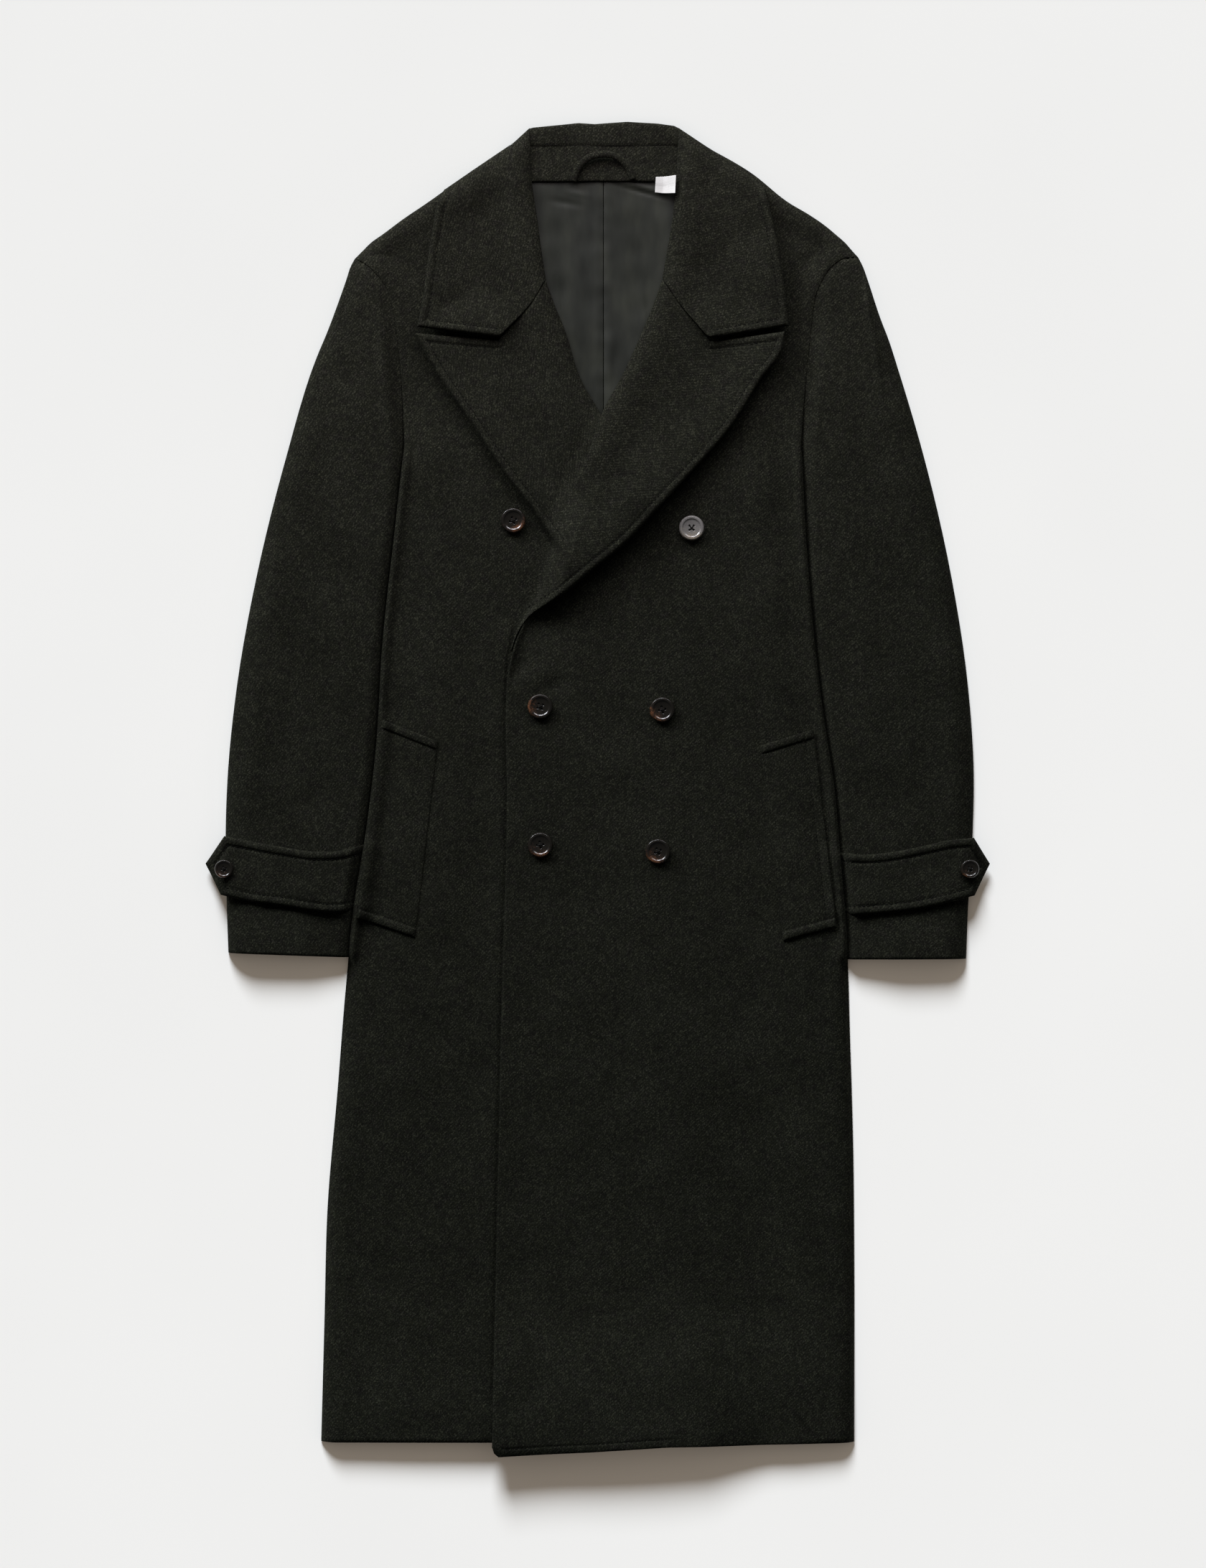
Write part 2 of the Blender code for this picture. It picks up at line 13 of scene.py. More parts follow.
import bpy
import numpy as np
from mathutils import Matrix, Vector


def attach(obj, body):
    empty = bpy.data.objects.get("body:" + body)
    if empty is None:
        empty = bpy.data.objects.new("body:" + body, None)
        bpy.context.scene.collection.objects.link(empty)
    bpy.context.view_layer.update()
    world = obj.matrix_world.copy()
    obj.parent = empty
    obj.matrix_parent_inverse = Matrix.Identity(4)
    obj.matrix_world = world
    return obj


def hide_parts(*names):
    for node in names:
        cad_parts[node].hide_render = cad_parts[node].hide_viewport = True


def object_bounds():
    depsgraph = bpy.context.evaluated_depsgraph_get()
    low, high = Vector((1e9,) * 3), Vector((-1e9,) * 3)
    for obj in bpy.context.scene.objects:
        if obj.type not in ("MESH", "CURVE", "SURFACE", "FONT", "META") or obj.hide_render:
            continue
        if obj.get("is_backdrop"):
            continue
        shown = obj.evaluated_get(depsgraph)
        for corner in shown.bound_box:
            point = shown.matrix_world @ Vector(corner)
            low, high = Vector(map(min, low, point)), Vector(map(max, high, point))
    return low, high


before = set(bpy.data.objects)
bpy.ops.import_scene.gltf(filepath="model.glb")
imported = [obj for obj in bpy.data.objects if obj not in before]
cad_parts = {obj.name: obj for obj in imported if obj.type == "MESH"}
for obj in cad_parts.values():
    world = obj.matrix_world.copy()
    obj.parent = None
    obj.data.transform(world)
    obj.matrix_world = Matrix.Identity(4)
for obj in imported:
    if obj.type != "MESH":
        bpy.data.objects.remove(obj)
cad_low, cad_high = (list(corner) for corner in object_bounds())
MM = 0.001
COLLAR_TOP = cad_high[1]
print("CAD box in metres:", cad_low, cad_high)

# %% [markdown]
# ## The camera
#
# The photograph looks straight down. An orthographic camera would show no side of anything, so this is
# a long lens from four metres, which keeps the outlines as flat as the photograph's. The frame is
# 1680 x 2184 pixels, and one pixel is 0.66 mm on the coat.

# %% Camera
FRAME_PIXELS = (1680, 2184)
PIXEL = 0.66 * MM
CAMERA_HEIGHT = 4.0
FRAME_CENTRE = (0.0046, 0.0038)
COAT_LEVEL = 0.009
SENSOR = 36.0

camera_data = bpy.data.cameras.new("camera")
camera_data.sensor_width = SENSOR
camera_data.lens = SENSOR * (CAMERA_HEIGHT - COAT_LEVEL) / (FRAME_PIXELS[1] * PIXEL)
camera = bpy.data.objects.new("camera", camera_data)
camera.location = (*FRAME_CENTRE, CAMERA_HEIGHT)
bpy.context.scene.collection.objects.link(camera)
bpy.context.scene.camera = camera
print("lens in mm:", round(camera_data.lens, 1))

# %% [markdown]
# ## Colours and nodes
#
# Colours are written as sRGB hex, as a picture editor shows them, and turned to linear light
# for the shaders. Nodes could be added line by line, but one helper that adds a node, gives it its
# settings and links its inputs keeps each material short enough to read as a recipe.


# %% Helpers for materials
def colour(hex_value):
    """Linear RGBA of an sRGB hex colour: the sRGB curve undone for each channel."""
    levels = [int(hex_value[k:k + 2], 16) / 255 for k in (1, 3, 5)]
    linear = [v / 12.92 if v <= 0.04045 else ((v + 0.055) / 1.055) ** 2.4 for v in levels]
    return (*linear, 1.0)


def set_inputs(tree, node, inputs):
    """Gives each named input its value, or a link from the socket that feeds it."""
    for name, value in inputs.items():
        if isinstance(value, bpy.types.NodeSocket):
            tree.links.new(value, node.inputs[name])
        else:
            node.inputs[name].default_value = value


def add_node(tree, kind, output, inputs=None, stops=(), **settings):
    """Adds a shader node and returns one of its outputs; stops are a ramp's places and hex colours."""
    node = tree.nodes.new("ShaderNode" + kind)
    for name, value in settings.items():
        setattr(node, name, value)
    set_inputs(tree, node, inputs or {})
    if stops:
        elements = node.color_ramp.elements
        while len(elements) < len(stops):
            elements.new(1.0)
        for element, (position, shade) in zip(elements, stops):
            element.position = position
            element.color = colour(shade)
    return node.outputs[output]


def new_material(name):
    """Empty node material with its Principled shader linked to the output."""
    material = bpy.data.materials.new(name)
    material.use_nodes = True
    tree = material.node_tree
    tree.nodes.clear()
    surface = add_node(tree, "BsdfPrincipled", "BSDF")
    tree.links.new(surface, tree.nodes.new("ShaderNodeOutputMaterial").inputs["Surface"])
    return material, tree, surface.node


# %% [markdown]
# ## The stage
#
# A plain pale floor under soft studio light. One set of lamps could light everything, but dark cloth on
# white board needs more light than the board, so light linking gives each its own. The coat gets
# a long softbox far beyond the collar, made of three sun lamps side by side, each with a wide angle,
# and a near one at the collar, so that it darkens gently towards the hem. The floor gets one such
# sun, whose shadows are short and fade, and a wide warm light from above, which keeps them soft.

# %% Floor
FLOOR_HALF = 6.0
FLOOR_DROP = 0.0002
floor_lit = bpy.data.collections.new("floor_lit")
coat_lit = bpy.data.collections.new("coat_lit")


def make_floor():
    """Large square a hair under the coat, in board with a faint paper tone."""
    mesh = bpy.data.meshes.new("floor")
    corners = [(-1, -1), (1, -1), (1, 1), (-1, 1)]
    mesh.from_pydata([(FLOOR_HALF * x, FLOOR_HALF * y, -FLOOR_DROP) for x, y in corners], [], [(0, 1, 2, 3)])
    floor = bpy.data.objects.new("floor", mesh)
    bpy.context.scene.collection.objects.link(floor)
    floor_lit.objects.link(floor)
    material, tree, shader = new_material("matt_white_board")
    place = add_node(tree, "TexCoord", "Object")
    grain = add_node(tree, "TexNoise", "Fac", {"Vector": place, "Scale": 3.0, "Detail": 2.0})
    tone = add_node(tree, "ValToRGB", "Color", {"Fac": grain}, [(0.3, "#f1f1f0"), (0.7, "#f3f3f2")])
    set_inputs(tree, shader, {"Base Color": tone, "Roughness": 0.9, "Specular IOR Level": 0.1})
    mesh.materials.append(material)
    floor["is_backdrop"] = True


make_floor()

# %% Light
DAYLIGHT = (0.906, 0.953, 1.0)
WARM_LIGHT = (1.0, 0.8, 0.6)
ROSE_LIGHT = (1.0, 0.87, 0.96)
KEY_STRENGTH = 5.17
KEY_SPREAD = 21.0
# Name, elevation and side in degrees, strength, spread in degrees, colour, what it lights.
SUNS = [("softbox_floor", 29.0, 9.0, 1.0 * KEY_STRENGTH, KEY_SPREAD, DAYLIGHT, floor_lit),
        ("softbox_left", 19.0, 40.0, 0.68 * KEY_STRENGTH, KEY_SPREAD, DAYLIGHT, coat_lit),
        ("softbox_middle", 29.0, 6.0, 0.28 * KEY_STRENGTH, KEY_SPREAD, DAYLIGHT, coat_lit),
        ("softbox_right", 29.0, -30.0, 0.14 * KEY_STRENGTH, KEY_SPREAD, DAYLIGHT, coat_lit),
        ("floor_light", 90.0, 0.0, 0.6, 150.0, WARM_LIGHT, floor_lit)]
NEAR_POWER = 9.0
NEAR_SIZE = (1.6, 0.4)
NEAR_PLACE = (-0.15, 0.95, 0.4)
NEAR_TILT = 56.0
NEAR_SIDE = 12.0
FILL_COLOUR = (1.0, 1.0, 1.0, 1.0)
FILL_STRENGTH = 0.06


def add_lamp(name, kind, strength, tint, tilt, side, receivers):
    """A lamp tilted and turned by two angles in degrees, which lights only its receivers."""
    data = bpy.data.lights.new(name, kind)
    data.energy = strength
    data.color = tint
    lamp = bpy.data.objects.new(name, data)
    lamp.rotation_euler = (math.radians(tilt), 0.0, math.radians(side))
    lamp.light_linking.receiver_collection = receivers
    bpy.context.scene.collection.objects.link(lamp)
    return lamp


def make_light():
    """The suns, each raised by its elevation, the near softbox and a low even fill."""
    for name, elevation, side, strength, spread_angle, tint, receivers in SUNS:
        sun = add_lamp(name, "SUN", strength, tint, elevation - 90.0, side, receivers)
        sun.data.angle = math.radians(spread_angle)
    near = add_lamp("near_softbox", "AREA", NEAR_POWER, ROSE_LIGHT, -NEAR_TILT, NEAR_SIDE, coat_lit)
    near.data.shape = "RECTANGLE"
    near.data.size, near.data.size_y = NEAR_SIZE
    near.location = NEAR_PLACE
    world = bpy.data.worlds.new("studio")
    world.use_nodes = True
    background = world.node_tree.nodes["Background"]
    set_inputs(world.node_tree, background, {"Color": FILL_COLOUR, "Strength": FILL_STRENGTH})
    bpy.context.scene.world = world
    bpy.context.scene.view_settings.view_transform = "Standard"


make_light()
print("lamps:", len(bpy.data.lights))

# %% [markdown]
# ## Sheets on a grid
#
# Every cloth piece is a patch between a few guide lines, such as its two side edges. A plane could be
# pulled into shape by hand, but a patch keeps to the outline that was measured. The guides are
# smooth curves through a handful of measured points, in millimetres: how far across from the
# coat's middle, and how far down from the top of the collar. Rows share out the guides' lengths and
# columns share out each row, with close steps near the edges, where the cloth turns over.


# %% Curves and patches
def smooth_curve(points, steps=16):
    """Cubic Hermite spans through the points; each point's slope is the one through its neighbours."""
    points = np.array(points, float)
    spans = np.hypot(*np.diff(points, axis=0).T)
    knots = np.concatenate([[0.0], np.cumsum(spans)])
    slopes = np.gradient(points, knots, axis=0)
    t = np.linspace(0.0, 1.0, steps, endpoint=False)[None, :, None]
    reach = spans[:, None, None]
    curve = (2 * t**3 - 3 * t**2 + 1) * points[:-1, None] + (t**3 - 2 * t**2 + t) * reach * slopes[:-1, None]
    curve = curve + (3 * t**2 - 2 * t**3) * points[1:, None] + (t**3 - t**2) * reach * slopes[1:, None]
    return np.vstack([curve.reshape(-1, 2), points[-1:]])


def lengths_along(line):
    """Distance along a line at each of its points."""
    return np.concatenate([[0.0], np.cumsum(np.hypot(*np.diff(line, axis=0).T))])


def along(line, distances):
    """Points of a line at the given distances from its start."""
    reach = lengths_along(line)
    return np.stack([np.interp(distances, reach, line[:, k]) for k in (0, 1)], axis=-1)


def sideways(line):
    """Unit normals of a line, to the right-hand side of its heading."""
    heading = np.gradient(line, axis=0)
    heading /= np.linalg.norm(heading, axis=1, keepdims=True)
    return np.stack([-heading[:, 1], heading[:, 0]], axis=1)


def spread(lengths, inner, first_steps, last_steps):
    """Places along lines: set steps from each end, and an even share of the rest between them."""
    lengths = np.atleast_1d(lengths)[:, None]
    shrink = np.minimum(1.0, 0.4 * lengths / max(first_steps[-1], last_steps[-1]))
    first = first_steps * shrink
    last = lengths - last_steps[::-1] * shrink
    share = np.linspace(0.0, 1.0, inner + 2)[1:-1]
    middle = first[:, -1:] + (last[:, :1] - first[:, -1:]) * share
    return np.hstack([first, middle, last])


PLAIN = np.array([0.0, 0.4, 1.0, 2.0, 3.5, 6.0])
SWELLED = np.array([0.0, 0.4, 1.0, 1.9, 3.2, 4.8, 6.0, 6.7, 7.3, 7.9, 8.6, 10.0, 12.0])
ROLLED = np.array([0.0, 0.3, 0.8, 1.6, 2.8, 4.5, 7.0, 10.0, 14.0])


def patch(guides, rows, columns, ends=(PLAIN, PLAIN), sides=(PLAIN, PLAIN)):
    """Grid between guide lines: a row joins equal places on the guides, columns share out its length."""
    lines = []
    for guide in guides:
        curve = smooth_curve(guide)
        lines.append(along(curve, spread(lengths_along(curve)[-1], rows, *ends)[0]))
    knots = np.stack(lines, axis=1)
    spans = np.linalg.norm(np.diff(knots, axis=1), axis=2)
    reach = np.hstack([np.zeros((len(spans), 1)), np.cumsum(spans, axis=1)])
    wanted = spread(reach[:, -1], columns, *sides)
    grid = knots[:, :1]
    for k in range(len(guides) - 1):
        share = np.clip((wanted - reach[:, k:k + 1]) / np.maximum(spans[:, k:k + 1], 1e-6), 0.0, 1.0)
        grid = grid + share[..., None] * (knots[:, k + 1:k + 2] - knots[:, k:k + 1])
    return grid


def edges(grid):
    """The grid's first and last row and its first and last column, every second point of each."""
    return grid[0, ::2], grid[-1, ::2], grid[::2, 0], grid[::2, -1]


def distance_to(grid, *lines):
    """Distance of each grid point to the nearest of some lines, piece by straight piece."""
    best = np.full(grid.shape[:-1], np.inf)
    for line in lines:
        start = line[:-1]
        run = line[1:] - start
        offset = grid[..., None, :] - start
        share = np.clip((offset * run).sum(-1) / np.maximum((run * run).sum(-1), 1e-9), 0.0, 1.0)
        gap = offset - share[..., None] * run
        best = np.minimum(best, np.sqrt((gap * gap).sum(-1).min(-1)))
    return best


def ease(low, high, value):
    """Smooth step from 0 at low to 1 at high: 3t^2 - 2t^3."""
    t = np.clip((value - low) / (high - low), 0.0, 1.0)
    return t * t * (3.0 - 2.0 * t)


def fall(distance, radius, depth=1.0):
    """Quarter round: its depth on the edge itself, 0 from the radius inwards."""
    near = np.clip(1.0 - distance / radius, 0.0, 1.0)
    return depth * (1.0 - np.sqrt(1.0 - near * near))


def groove(distance, place, width, depth=1.0):
    """Soft trough at a place, or a swell where it is added: depth times exp(-(offset/width)^2)."""
    return depth * np.exp(-((distance - place) / width) ** 2)


# %% [markdown]
# ## Creases and unevenness
#
# Heavy wool lies almost flat, with a few broad waves and short dents. Noise could crumple the sheets,
# but these lie in certain places, so each is placed one by one: a line with a width and a height,
# strongest in its middle and fading to its ends. A slow random unevenness, always from the same
# seed, keeps the large panels from looking like card.

# %% Folds placed one by one
# Names below: a pair called RUN, START, END, NEAR or FAR is the two ends of an ease, and a pair called
# EDGE the radius and depth of a fall. A triple called GROOVE, SWELL or BELLY is the place, width and
# depth of a groove, and one called WAVES a rise, a length and a seed. FOLDS and CREASES are rows of
# two ends, a width and a height.
WAVE_COUNT = 9


def folds_at(grid, folds):
    """Sum of soft ridges (and troughs): height times a bell across and a sine arch along each line."""
    height = np.zeros(grid.shape[:-1])
    for start, end, width, rise in folds:
        start = np.array(start, float)
        run = np.array(end, float) - start
        length = np.hypot(*run)
        offset = grid - start
        share = (offset @ run) / length**2
        aside = (offset[..., 0] * run[1] - offset[..., 1] * run[0]) / length
        arch = np.cos(np.pi * np.clip(share - 0.5, -0.75, 0.75) / 1.5) ** 2
        height += rise * np.exp(-(aside / width) ** 2) * arch
    return height


def unevenness(grid, rise, size, seed):
    """Slow waviness of about the given rise: plane waves of near the given length in seeded directions."""
    draws = np.random.default_rng(seed)
    height = np.zeros(grid.shape[:-1])
    for _ in range(WAVE_COUNT):
        heading = draws.uniform(0.0, 2.0 * math.pi)
        rate = 2.0 * math.pi / (size * draws.uniform(0.6, 1.7))
        phase = draws.uniform(0.0, 2.0 * math.pi)
        height += np.sin(rate * (grid @ np.array([math.cos(heading), math.sin(heading)])) + phase)
    return rise * (height / math.sqrt(WAVE_COUNT))


# %% [markdown]
# ## The pile of cloth
#
# Rays could be cast down on the pieces below, but a height map of 2 mm cells, which holds the top of
# all that has been laid so far, is quicker and can be softened. A new piece rests on a softened copy:
# each cell first takes the highest neighbour within the cloth's stiffness, and then the mean over
# the same reach, so the copy is smooth and never lower than the pile.

# %% Height map
CELL = 2.0
CLOTH_REACH = 4.0
MAP_CORNER = np.array([-390.0, -30.0])
MAP_CELLS = (650, 390)
pile = np.zeros(MAP_CELLS)


def disc(reach):
    """Offsets, in cells, of the cells within a reach in millimetres."""
    cells = int(reach / CELL)
    side = np.arange(-cells, cells + 1)
    down, across = np.meshgrid(side, side, indexing="ij")
    inside = down**2 + across**2 <= cells**2 + 0.5
    return np.stack([down[inside], across[inside]], axis=-1)


def softened(reach):
    """Smooth map that bridges the pile: highest neighbour, then the mean, over the same reach."""
    shifts = disc(reach)
    highest = pile
    for down, across in shifts:
        highest = np.maximum(highest, np.roll(pile, (down, across), axis=(0, 1)))
    mean = np.zeros(MAP_CELLS)
    for down, across in shifts:
        mean += np.roll(highest, (down, across), axis=(0, 1))
    return mean / len(shifts)


def read_map(field, grid):
    """Value of a map at grid points, linear between cells."""
    place = (grid[..., ::-1] - MAP_CORNER[::-1]) / CELL
    low = place.astype(int)
    share = place - low
    row, column = low[..., 0], low[..., 1]
    upper = field[row, column] * (1 - share[..., 1]) + field[row, column + 1] * share[..., 1]
    lower = field[row + 1, column] * (1 - share[..., 1]) + field[row + 1, column + 1] * share[..., 1]
    return upper * (1 - share[..., 0]) + lower * share[..., 0]


def finer(values, times):
    """Grid values with that many linear steps for each one, along both sides."""
    for axis in (0, 1):
        count = values.shape[axis]
        place = np.linspace(0, count - 1, (count - 1) * times + 1)
        low = np.minimum(place.astype(int), count - 2)
        shape = [1] * values.ndim
        shape[axis] = -1
        share = (place - low).reshape(shape)
        values = np.take(values, low, axis) * (1 - share) + np.take(values, low + 1, axis) * share
    return values


def lay_on_pile(grid, top):
    """Raises the pile to a piece's top wherever the piece lies."""
    fine = finer(np.concatenate([grid, top[..., None]], axis=-1), 6).reshape(-1, 3)
    cells = np.round((fine[:, 1::-1] - MAP_CORNER[::-1]) / CELL).astype(int)
    np.maximum.at(pile, (cells[:, 0], cells[:, 1]), fine[:, 2])


print("height map:", MAP_CELLS, "cells of", CELL, "mm")

# %% [markdown]
# ## From sheet to cloth
#
# A piece of cloth is a closed shell: its face, its underside and a narrow rim that joins them. The
# Solidify modifier could give it a wall, but here the wall thins out in a quarter round towards each
# edge, so a cut or folded edge looks turned and not sawn. A map in metres lies on the cloth and is
# turned to the way the twill runs on that piece, because the wales follow the cut and not the room.


# %% Points and maps
def to_metres(grid, height):
    """Points in the frame's metres from millimetres across, down and up."""
    return np.stack([grid[..., 0] * MM, COLLAR_TOP - grid[..., 1] * MM, height * MM], axis=-1)


def turned(grid, angle):
    """Cloth map in metres: the grid turned so that the first number runs across the wales."""
    sin, cos = math.sin(math.radians(angle)), math.cos(math.radians(angle))
    x, y = grid[..., 0] * MM, -grid[..., 1] * MM
    return np.stack([x * sin - y * cos, x * cos + y * sin], axis=-1)


def add_piece(name, points, faces, cloth_map, material, node=None):
    """Smooth mesh with a cloth map and its material; it rides on the coat and stands for its solid."""
    mesh = bpy.data.meshes.new(name)
    mesh.from_pydata(points.reshape(-1, 3).tolist(), [], faces)
    layer = mesh.uv_layers.new(name="cloth_map")
    corners = np.empty(len(mesh.loops), dtype=np.int32)
    mesh.loops.foreach_get("vertex_index", corners)
    layer.data.foreach_set("uv", cloth_map.reshape(-1, 2)[corners].astype(np.float32).ravel())
    mesh.shade_smooth()
    mesh.materials.append(material)
    piece = bpy.data.objects.new(name, mesh)
    bpy.context.scene.collection.objects.link(piece)
    coat_lit.objects.link(piece)
    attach(piece, "root")
    if node:
        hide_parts(node)
    return piece


# %% Closed shells
def shell_faces(rows, columns, flipped):
    """Quads of face, underside and rim for two grids of points, one after the other."""
    count = rows * columns
    index = np.arange(count).reshape(rows, columns)
    face = np.stack([index[:-1, :-1], index[1:, :-1], index[1:, 1:], index[:-1, 1:]], axis=-1).reshape(-1, 4)
    loop = np.concatenate([index[0, :-1], index[:-1, -1], index[-1, :0:-1], index[:0:-1, 0]])
    after = np.roll(loop, -1)
    wall = np.stack([loop, after, after + count, loop + count], axis=-1)
    quads = np.vstack([face, face[:, ::-1] + count, wall])
    return (quads[:, ::-1] if flipped else quads).tolist()


def tube_faces(rings, sides, flipped):
    """Quads between rings of points, each ring closed on itself, and a cap on the first and last ring."""
    index = np.arange(rings * sides).reshape(rings, sides)
    after = np.roll(index, -1, axis=1)
    quads = np.stack([index[:-1], index[1:], after[1:], after[:-1]], axis=-1).reshape(-1, 4)
    caps = [index[0], index[-1, ::-1]]
    if flipped:
        quads = quads[:, [0, 3, 2, 1]]
        caps = [index[0, ::-1], index[-1]]
    return quads.tolist() + [cap.tolist() for cap in caps]


def is_mirrored(grid):
    """True where the columns run from the right to the left: the grid's signed area is negative."""
    down = np.diff(grid, axis=0)[:, :-1]
    across = np.diff(grid, axis=1)[:-1]
    return (across[..., 0] * down[..., 1] - across[..., 1] * down[..., 0]).sum() < 0


def cloth_piece(node, grid, top, wall, material, wales=45.0, edge=1.3, rim=0.4, floor=0.1):
    """Shell of a sheet: the wall thins in a quarter round to the rim at every edge of the patch."""
    thickness = rim + (wall - rim) * (1.0 - fall(distance_to(grid, *edges(grid)), edge))
    under = np.maximum(top - thickness, floor)
    top = np.maximum(top, under + 0.1)
    points = np.stack([to_metres(grid, top), to_metres(grid, under)])
    cloth_map = np.stack([turned(grid, wales)] * 2)
    faces = shell_faces(*grid.shape[:2], is_mirrored(grid))
    add_piece("cloth_" + node, points, faces, cloth_map, material, node)
    lay_on_pile(grid, top)


# %% [markdown]
# ## Milled wool twill
#
# The coat cloth is a heavy wool twill, milled so that a short nap half hides the weave: dark olive
# black, with steep fine wales and scattered paler fibres. It could be a scanned cloth, but four
# patterns give it: bands for the wales, small cells for the fibres and two slow noises for dye and nap.
# The real wales are under 2 mm apart, which falls between two pixels, so they are drawn at 2.4 mm.

# %% Wool
# A wave texture at scale 1 repeats every 2 pi / 20 units.
WAVE_STEP = 2.0 * math.pi / 20.0
WALE_PITCH = 2.4 * MM
FIBRE = 0.9 * MM
TUFT = 6.5 * MM
NAP = 38.0 * MM
WALE_SHADES = [(0.0, "#dadada"), (0.5, "#f2f2f2"), (1.0, "#ffffff")]
DYE_SHADES = [(0.34, "#e2dce2"), (0.5, "#f2f2ee"), (0.66, "#fffff6")]
NAP_SHADES = [(0.3, "#e0e0de"), (0.7, "#ffffff")]


def wool_twill():
    """Matt fibres with a faint fuzz: high roughness, low gloss, some sheen, relief from the wales."""
    material, tree, shader = new_material("milled_wool_twill")
    cloth = add_node(tree, "UVMap", "UV", uv_map="cloth_map")
    place = add_node(tree, "TexCoord", "Object")
    wales = add_node(tree, "TexWave", "Fac", {
        "Vector": cloth, "Scale": WAVE_STEP / WALE_PITCH, "Distortion": 4.0, "Detail": 3.0,
        "Detail Scale": 1.3, "Detail Roughness": 0.6}, bands_direction="X")
    fibres = add_node(tree, "TexVoronoi", "Color", {"Vector": place, "Scale": 1.0 / FIBRE})
    tufts = add_node(tree, "TexNoise", "Fac", {
        "Vector": place, "Scale": 1.0 / TUFT, "Detail": 3.0, "Roughness": 0.6})
    nap = add_node(tree, "TexNoise", "Fac", {
        "Vector": place, "Scale": 1.0 / NAP, "Detail": 4.0, "Roughness": 0.55})
    tone = add_node(tree, "ValToRGB", "Color", {"Fac": fibres}, [
        (0.0, "#161712"), (0.6, "#1f201b"), (1.0, "#3b3c33")])
    # A Mix node takes its two colours at sockets 6 and 7 and gives their product at output 2.
    for pattern, shades in ((wales, WALE_SHADES), (tufts, DYE_SHADES), (nap, NAP_SHADES)):
        shade = add_node(tree, "ValToRGB", "Color", {"Fac": pattern}, shades)
        tone = add_node(tree, "Mix", 2, {0: 1.0, 6: tone, 7: shade}, data_type="RGBA", blend_type="MULTIPLY")
    relief = add_node(tree, "Math", 0, {0: wales, 1: 0.3, 2: fibres}, operation="MULTIPLY_ADD")
    bump = add_node(tree, "Bump", "Normal", {"Height": relief, "Strength": 0.5, "Distance": 0.25 * MM})
    set_inputs(tree, shader, {
        "Base Color": tone, "Normal": bump, "Roughness": 0.92, "Specular IOR Level": 0.02,
        "Sheen Weight": 0.03, "Sheen Roughness": 0.45, "Sheen Tint": colour("#8c8d80")})
    return material


# %% [markdown]
# ## Satin lining
#
# The lining is a dark grey satin. Its long floats run down the coat, so it is softly clouded and
# a little longer in its clouds that way; fine threads break up the gloss. One stretched noise
# gives tone and gloss together, which a plain glossy grey would not.

# %% Lining
# The real threads are finer than a pixel, so they are drawn at 0.9 mm.
THREAD = 0.9 * MM
LINING_CLOUD = 22.5 * MM


def satin_lining():
    """Smooth floats: middling roughness, some gloss, clouds stretched along the warp."""
    material, tree, shader = new_material("acetate_satin")
    cloth = add_node(tree, "UVMap", "UV", uv_map="cloth_map")
    stretched = add_node(tree, "Mapping", "Vector", {"Vector": cloth, "Scale": (1.0, 0.35, 1.0)})
    clouds = add_node(tree, "TexNoise", "Fac", {
        "Vector": stretched, "Scale": 1.0 / LINING_CLOUD, "Detail": 3.0, "Roughness": 0.5})
    threads = add_node(tree, "TexNoise", "Fac", {"Vector": stretched, "Scale": 1.0 / THREAD, "Detail": 2.0})
    tone = add_node(tree, "ValToRGB", "Color", {"Fac": clouds}, [
        (0.3, "#1a1c18"), (0.5, "#21231e"), (0.72, "#2a2c25")])
    gloss = add_node(tree, "MapRange", "Result", {"Value": clouds, "To Min": 0.5, "To Max": 0.62})
    bump = add_node(tree, "Bump", "Normal", {"Height": threads, "Strength": 0.1, "Distance": 0.1 * MM})
    set_inputs(tree, shader, {"Base Color": tone, "Roughness": gloss, "Normal": bump,
                              "Specular IOR Level": 0.12, "Anisotropic": 0.35})
    return material


# %% [markdown]
# ## Horn, thread and the bare label
#
# The buttons are dark horn: almost black, with a brown cloud towards one side, and polished. A plain
# noise would put the cloud anywhere, so each button carries a map of its own face, and the cloud sits
# to the side where it does on the coat. The label is white woven satin with nothing on it.
# One button's horn is painted pale grey, as a painted reflection of the lamps on its face.

# %% Horn, thread, label
HORN_CLOUD = 3.5 * MM
HORN_STEPS = (0.52, 0.66, 0.78, 0.92)
HORN_REACH = 10.0 * MM
# Fibres and wefts are finer than a pixel too, and are drawn at these sizes.
TWIST = 0.6 * MM
WEFT = 1.2 * MM


def polished_horn(name, tones):
    """Brown cloud to one side of the given horn tones (dark horn, and a pale copy that paints a reflection),
    under the low roughness of a polish.
    """
    material, tree, shader = new_material(name)
    face = add_node(tree, "UVMap", "UV", uv_map="cloth_map")
    place = add_node(tree, "TexCoord", "Object")
    cloud = add_node(tree, "TexNoise", "Fac", {
        "Vector": place, "Scale": 1.0 / HORN_CLOUD, "Detail": 4.0, "Roughness": 0.65, "Distortion": 1.2})
    drift = add_node(tree, "MapRange", "Result", {
        "Value": add_node(tree, "SeparateXYZ", "X", {"Vector": face}),
        "From Min": -HORN_REACH, "From Max": HORN_REACH, "To Min": 0.34, "To Max": -0.3})
    mixed = add_node(tree, "Math", 0, {0: cloud, 1: drift}, operation="ADD")
    tone = add_node(tree, "ValToRGB", "Color", {"Fac": mixed}, list(zip(HORN_STEPS, tones)))
    scuffs = add_node(tree, "MapRange", "Result", {"Value": cloud, "To Min": 0.14, "To Max": 0.32})
    set_inputs(tree, shader, {
        "Base Color": tone, "Roughness": scuffs, "IOR": 1.54, "Specular IOR Level": 0.5})
    return material


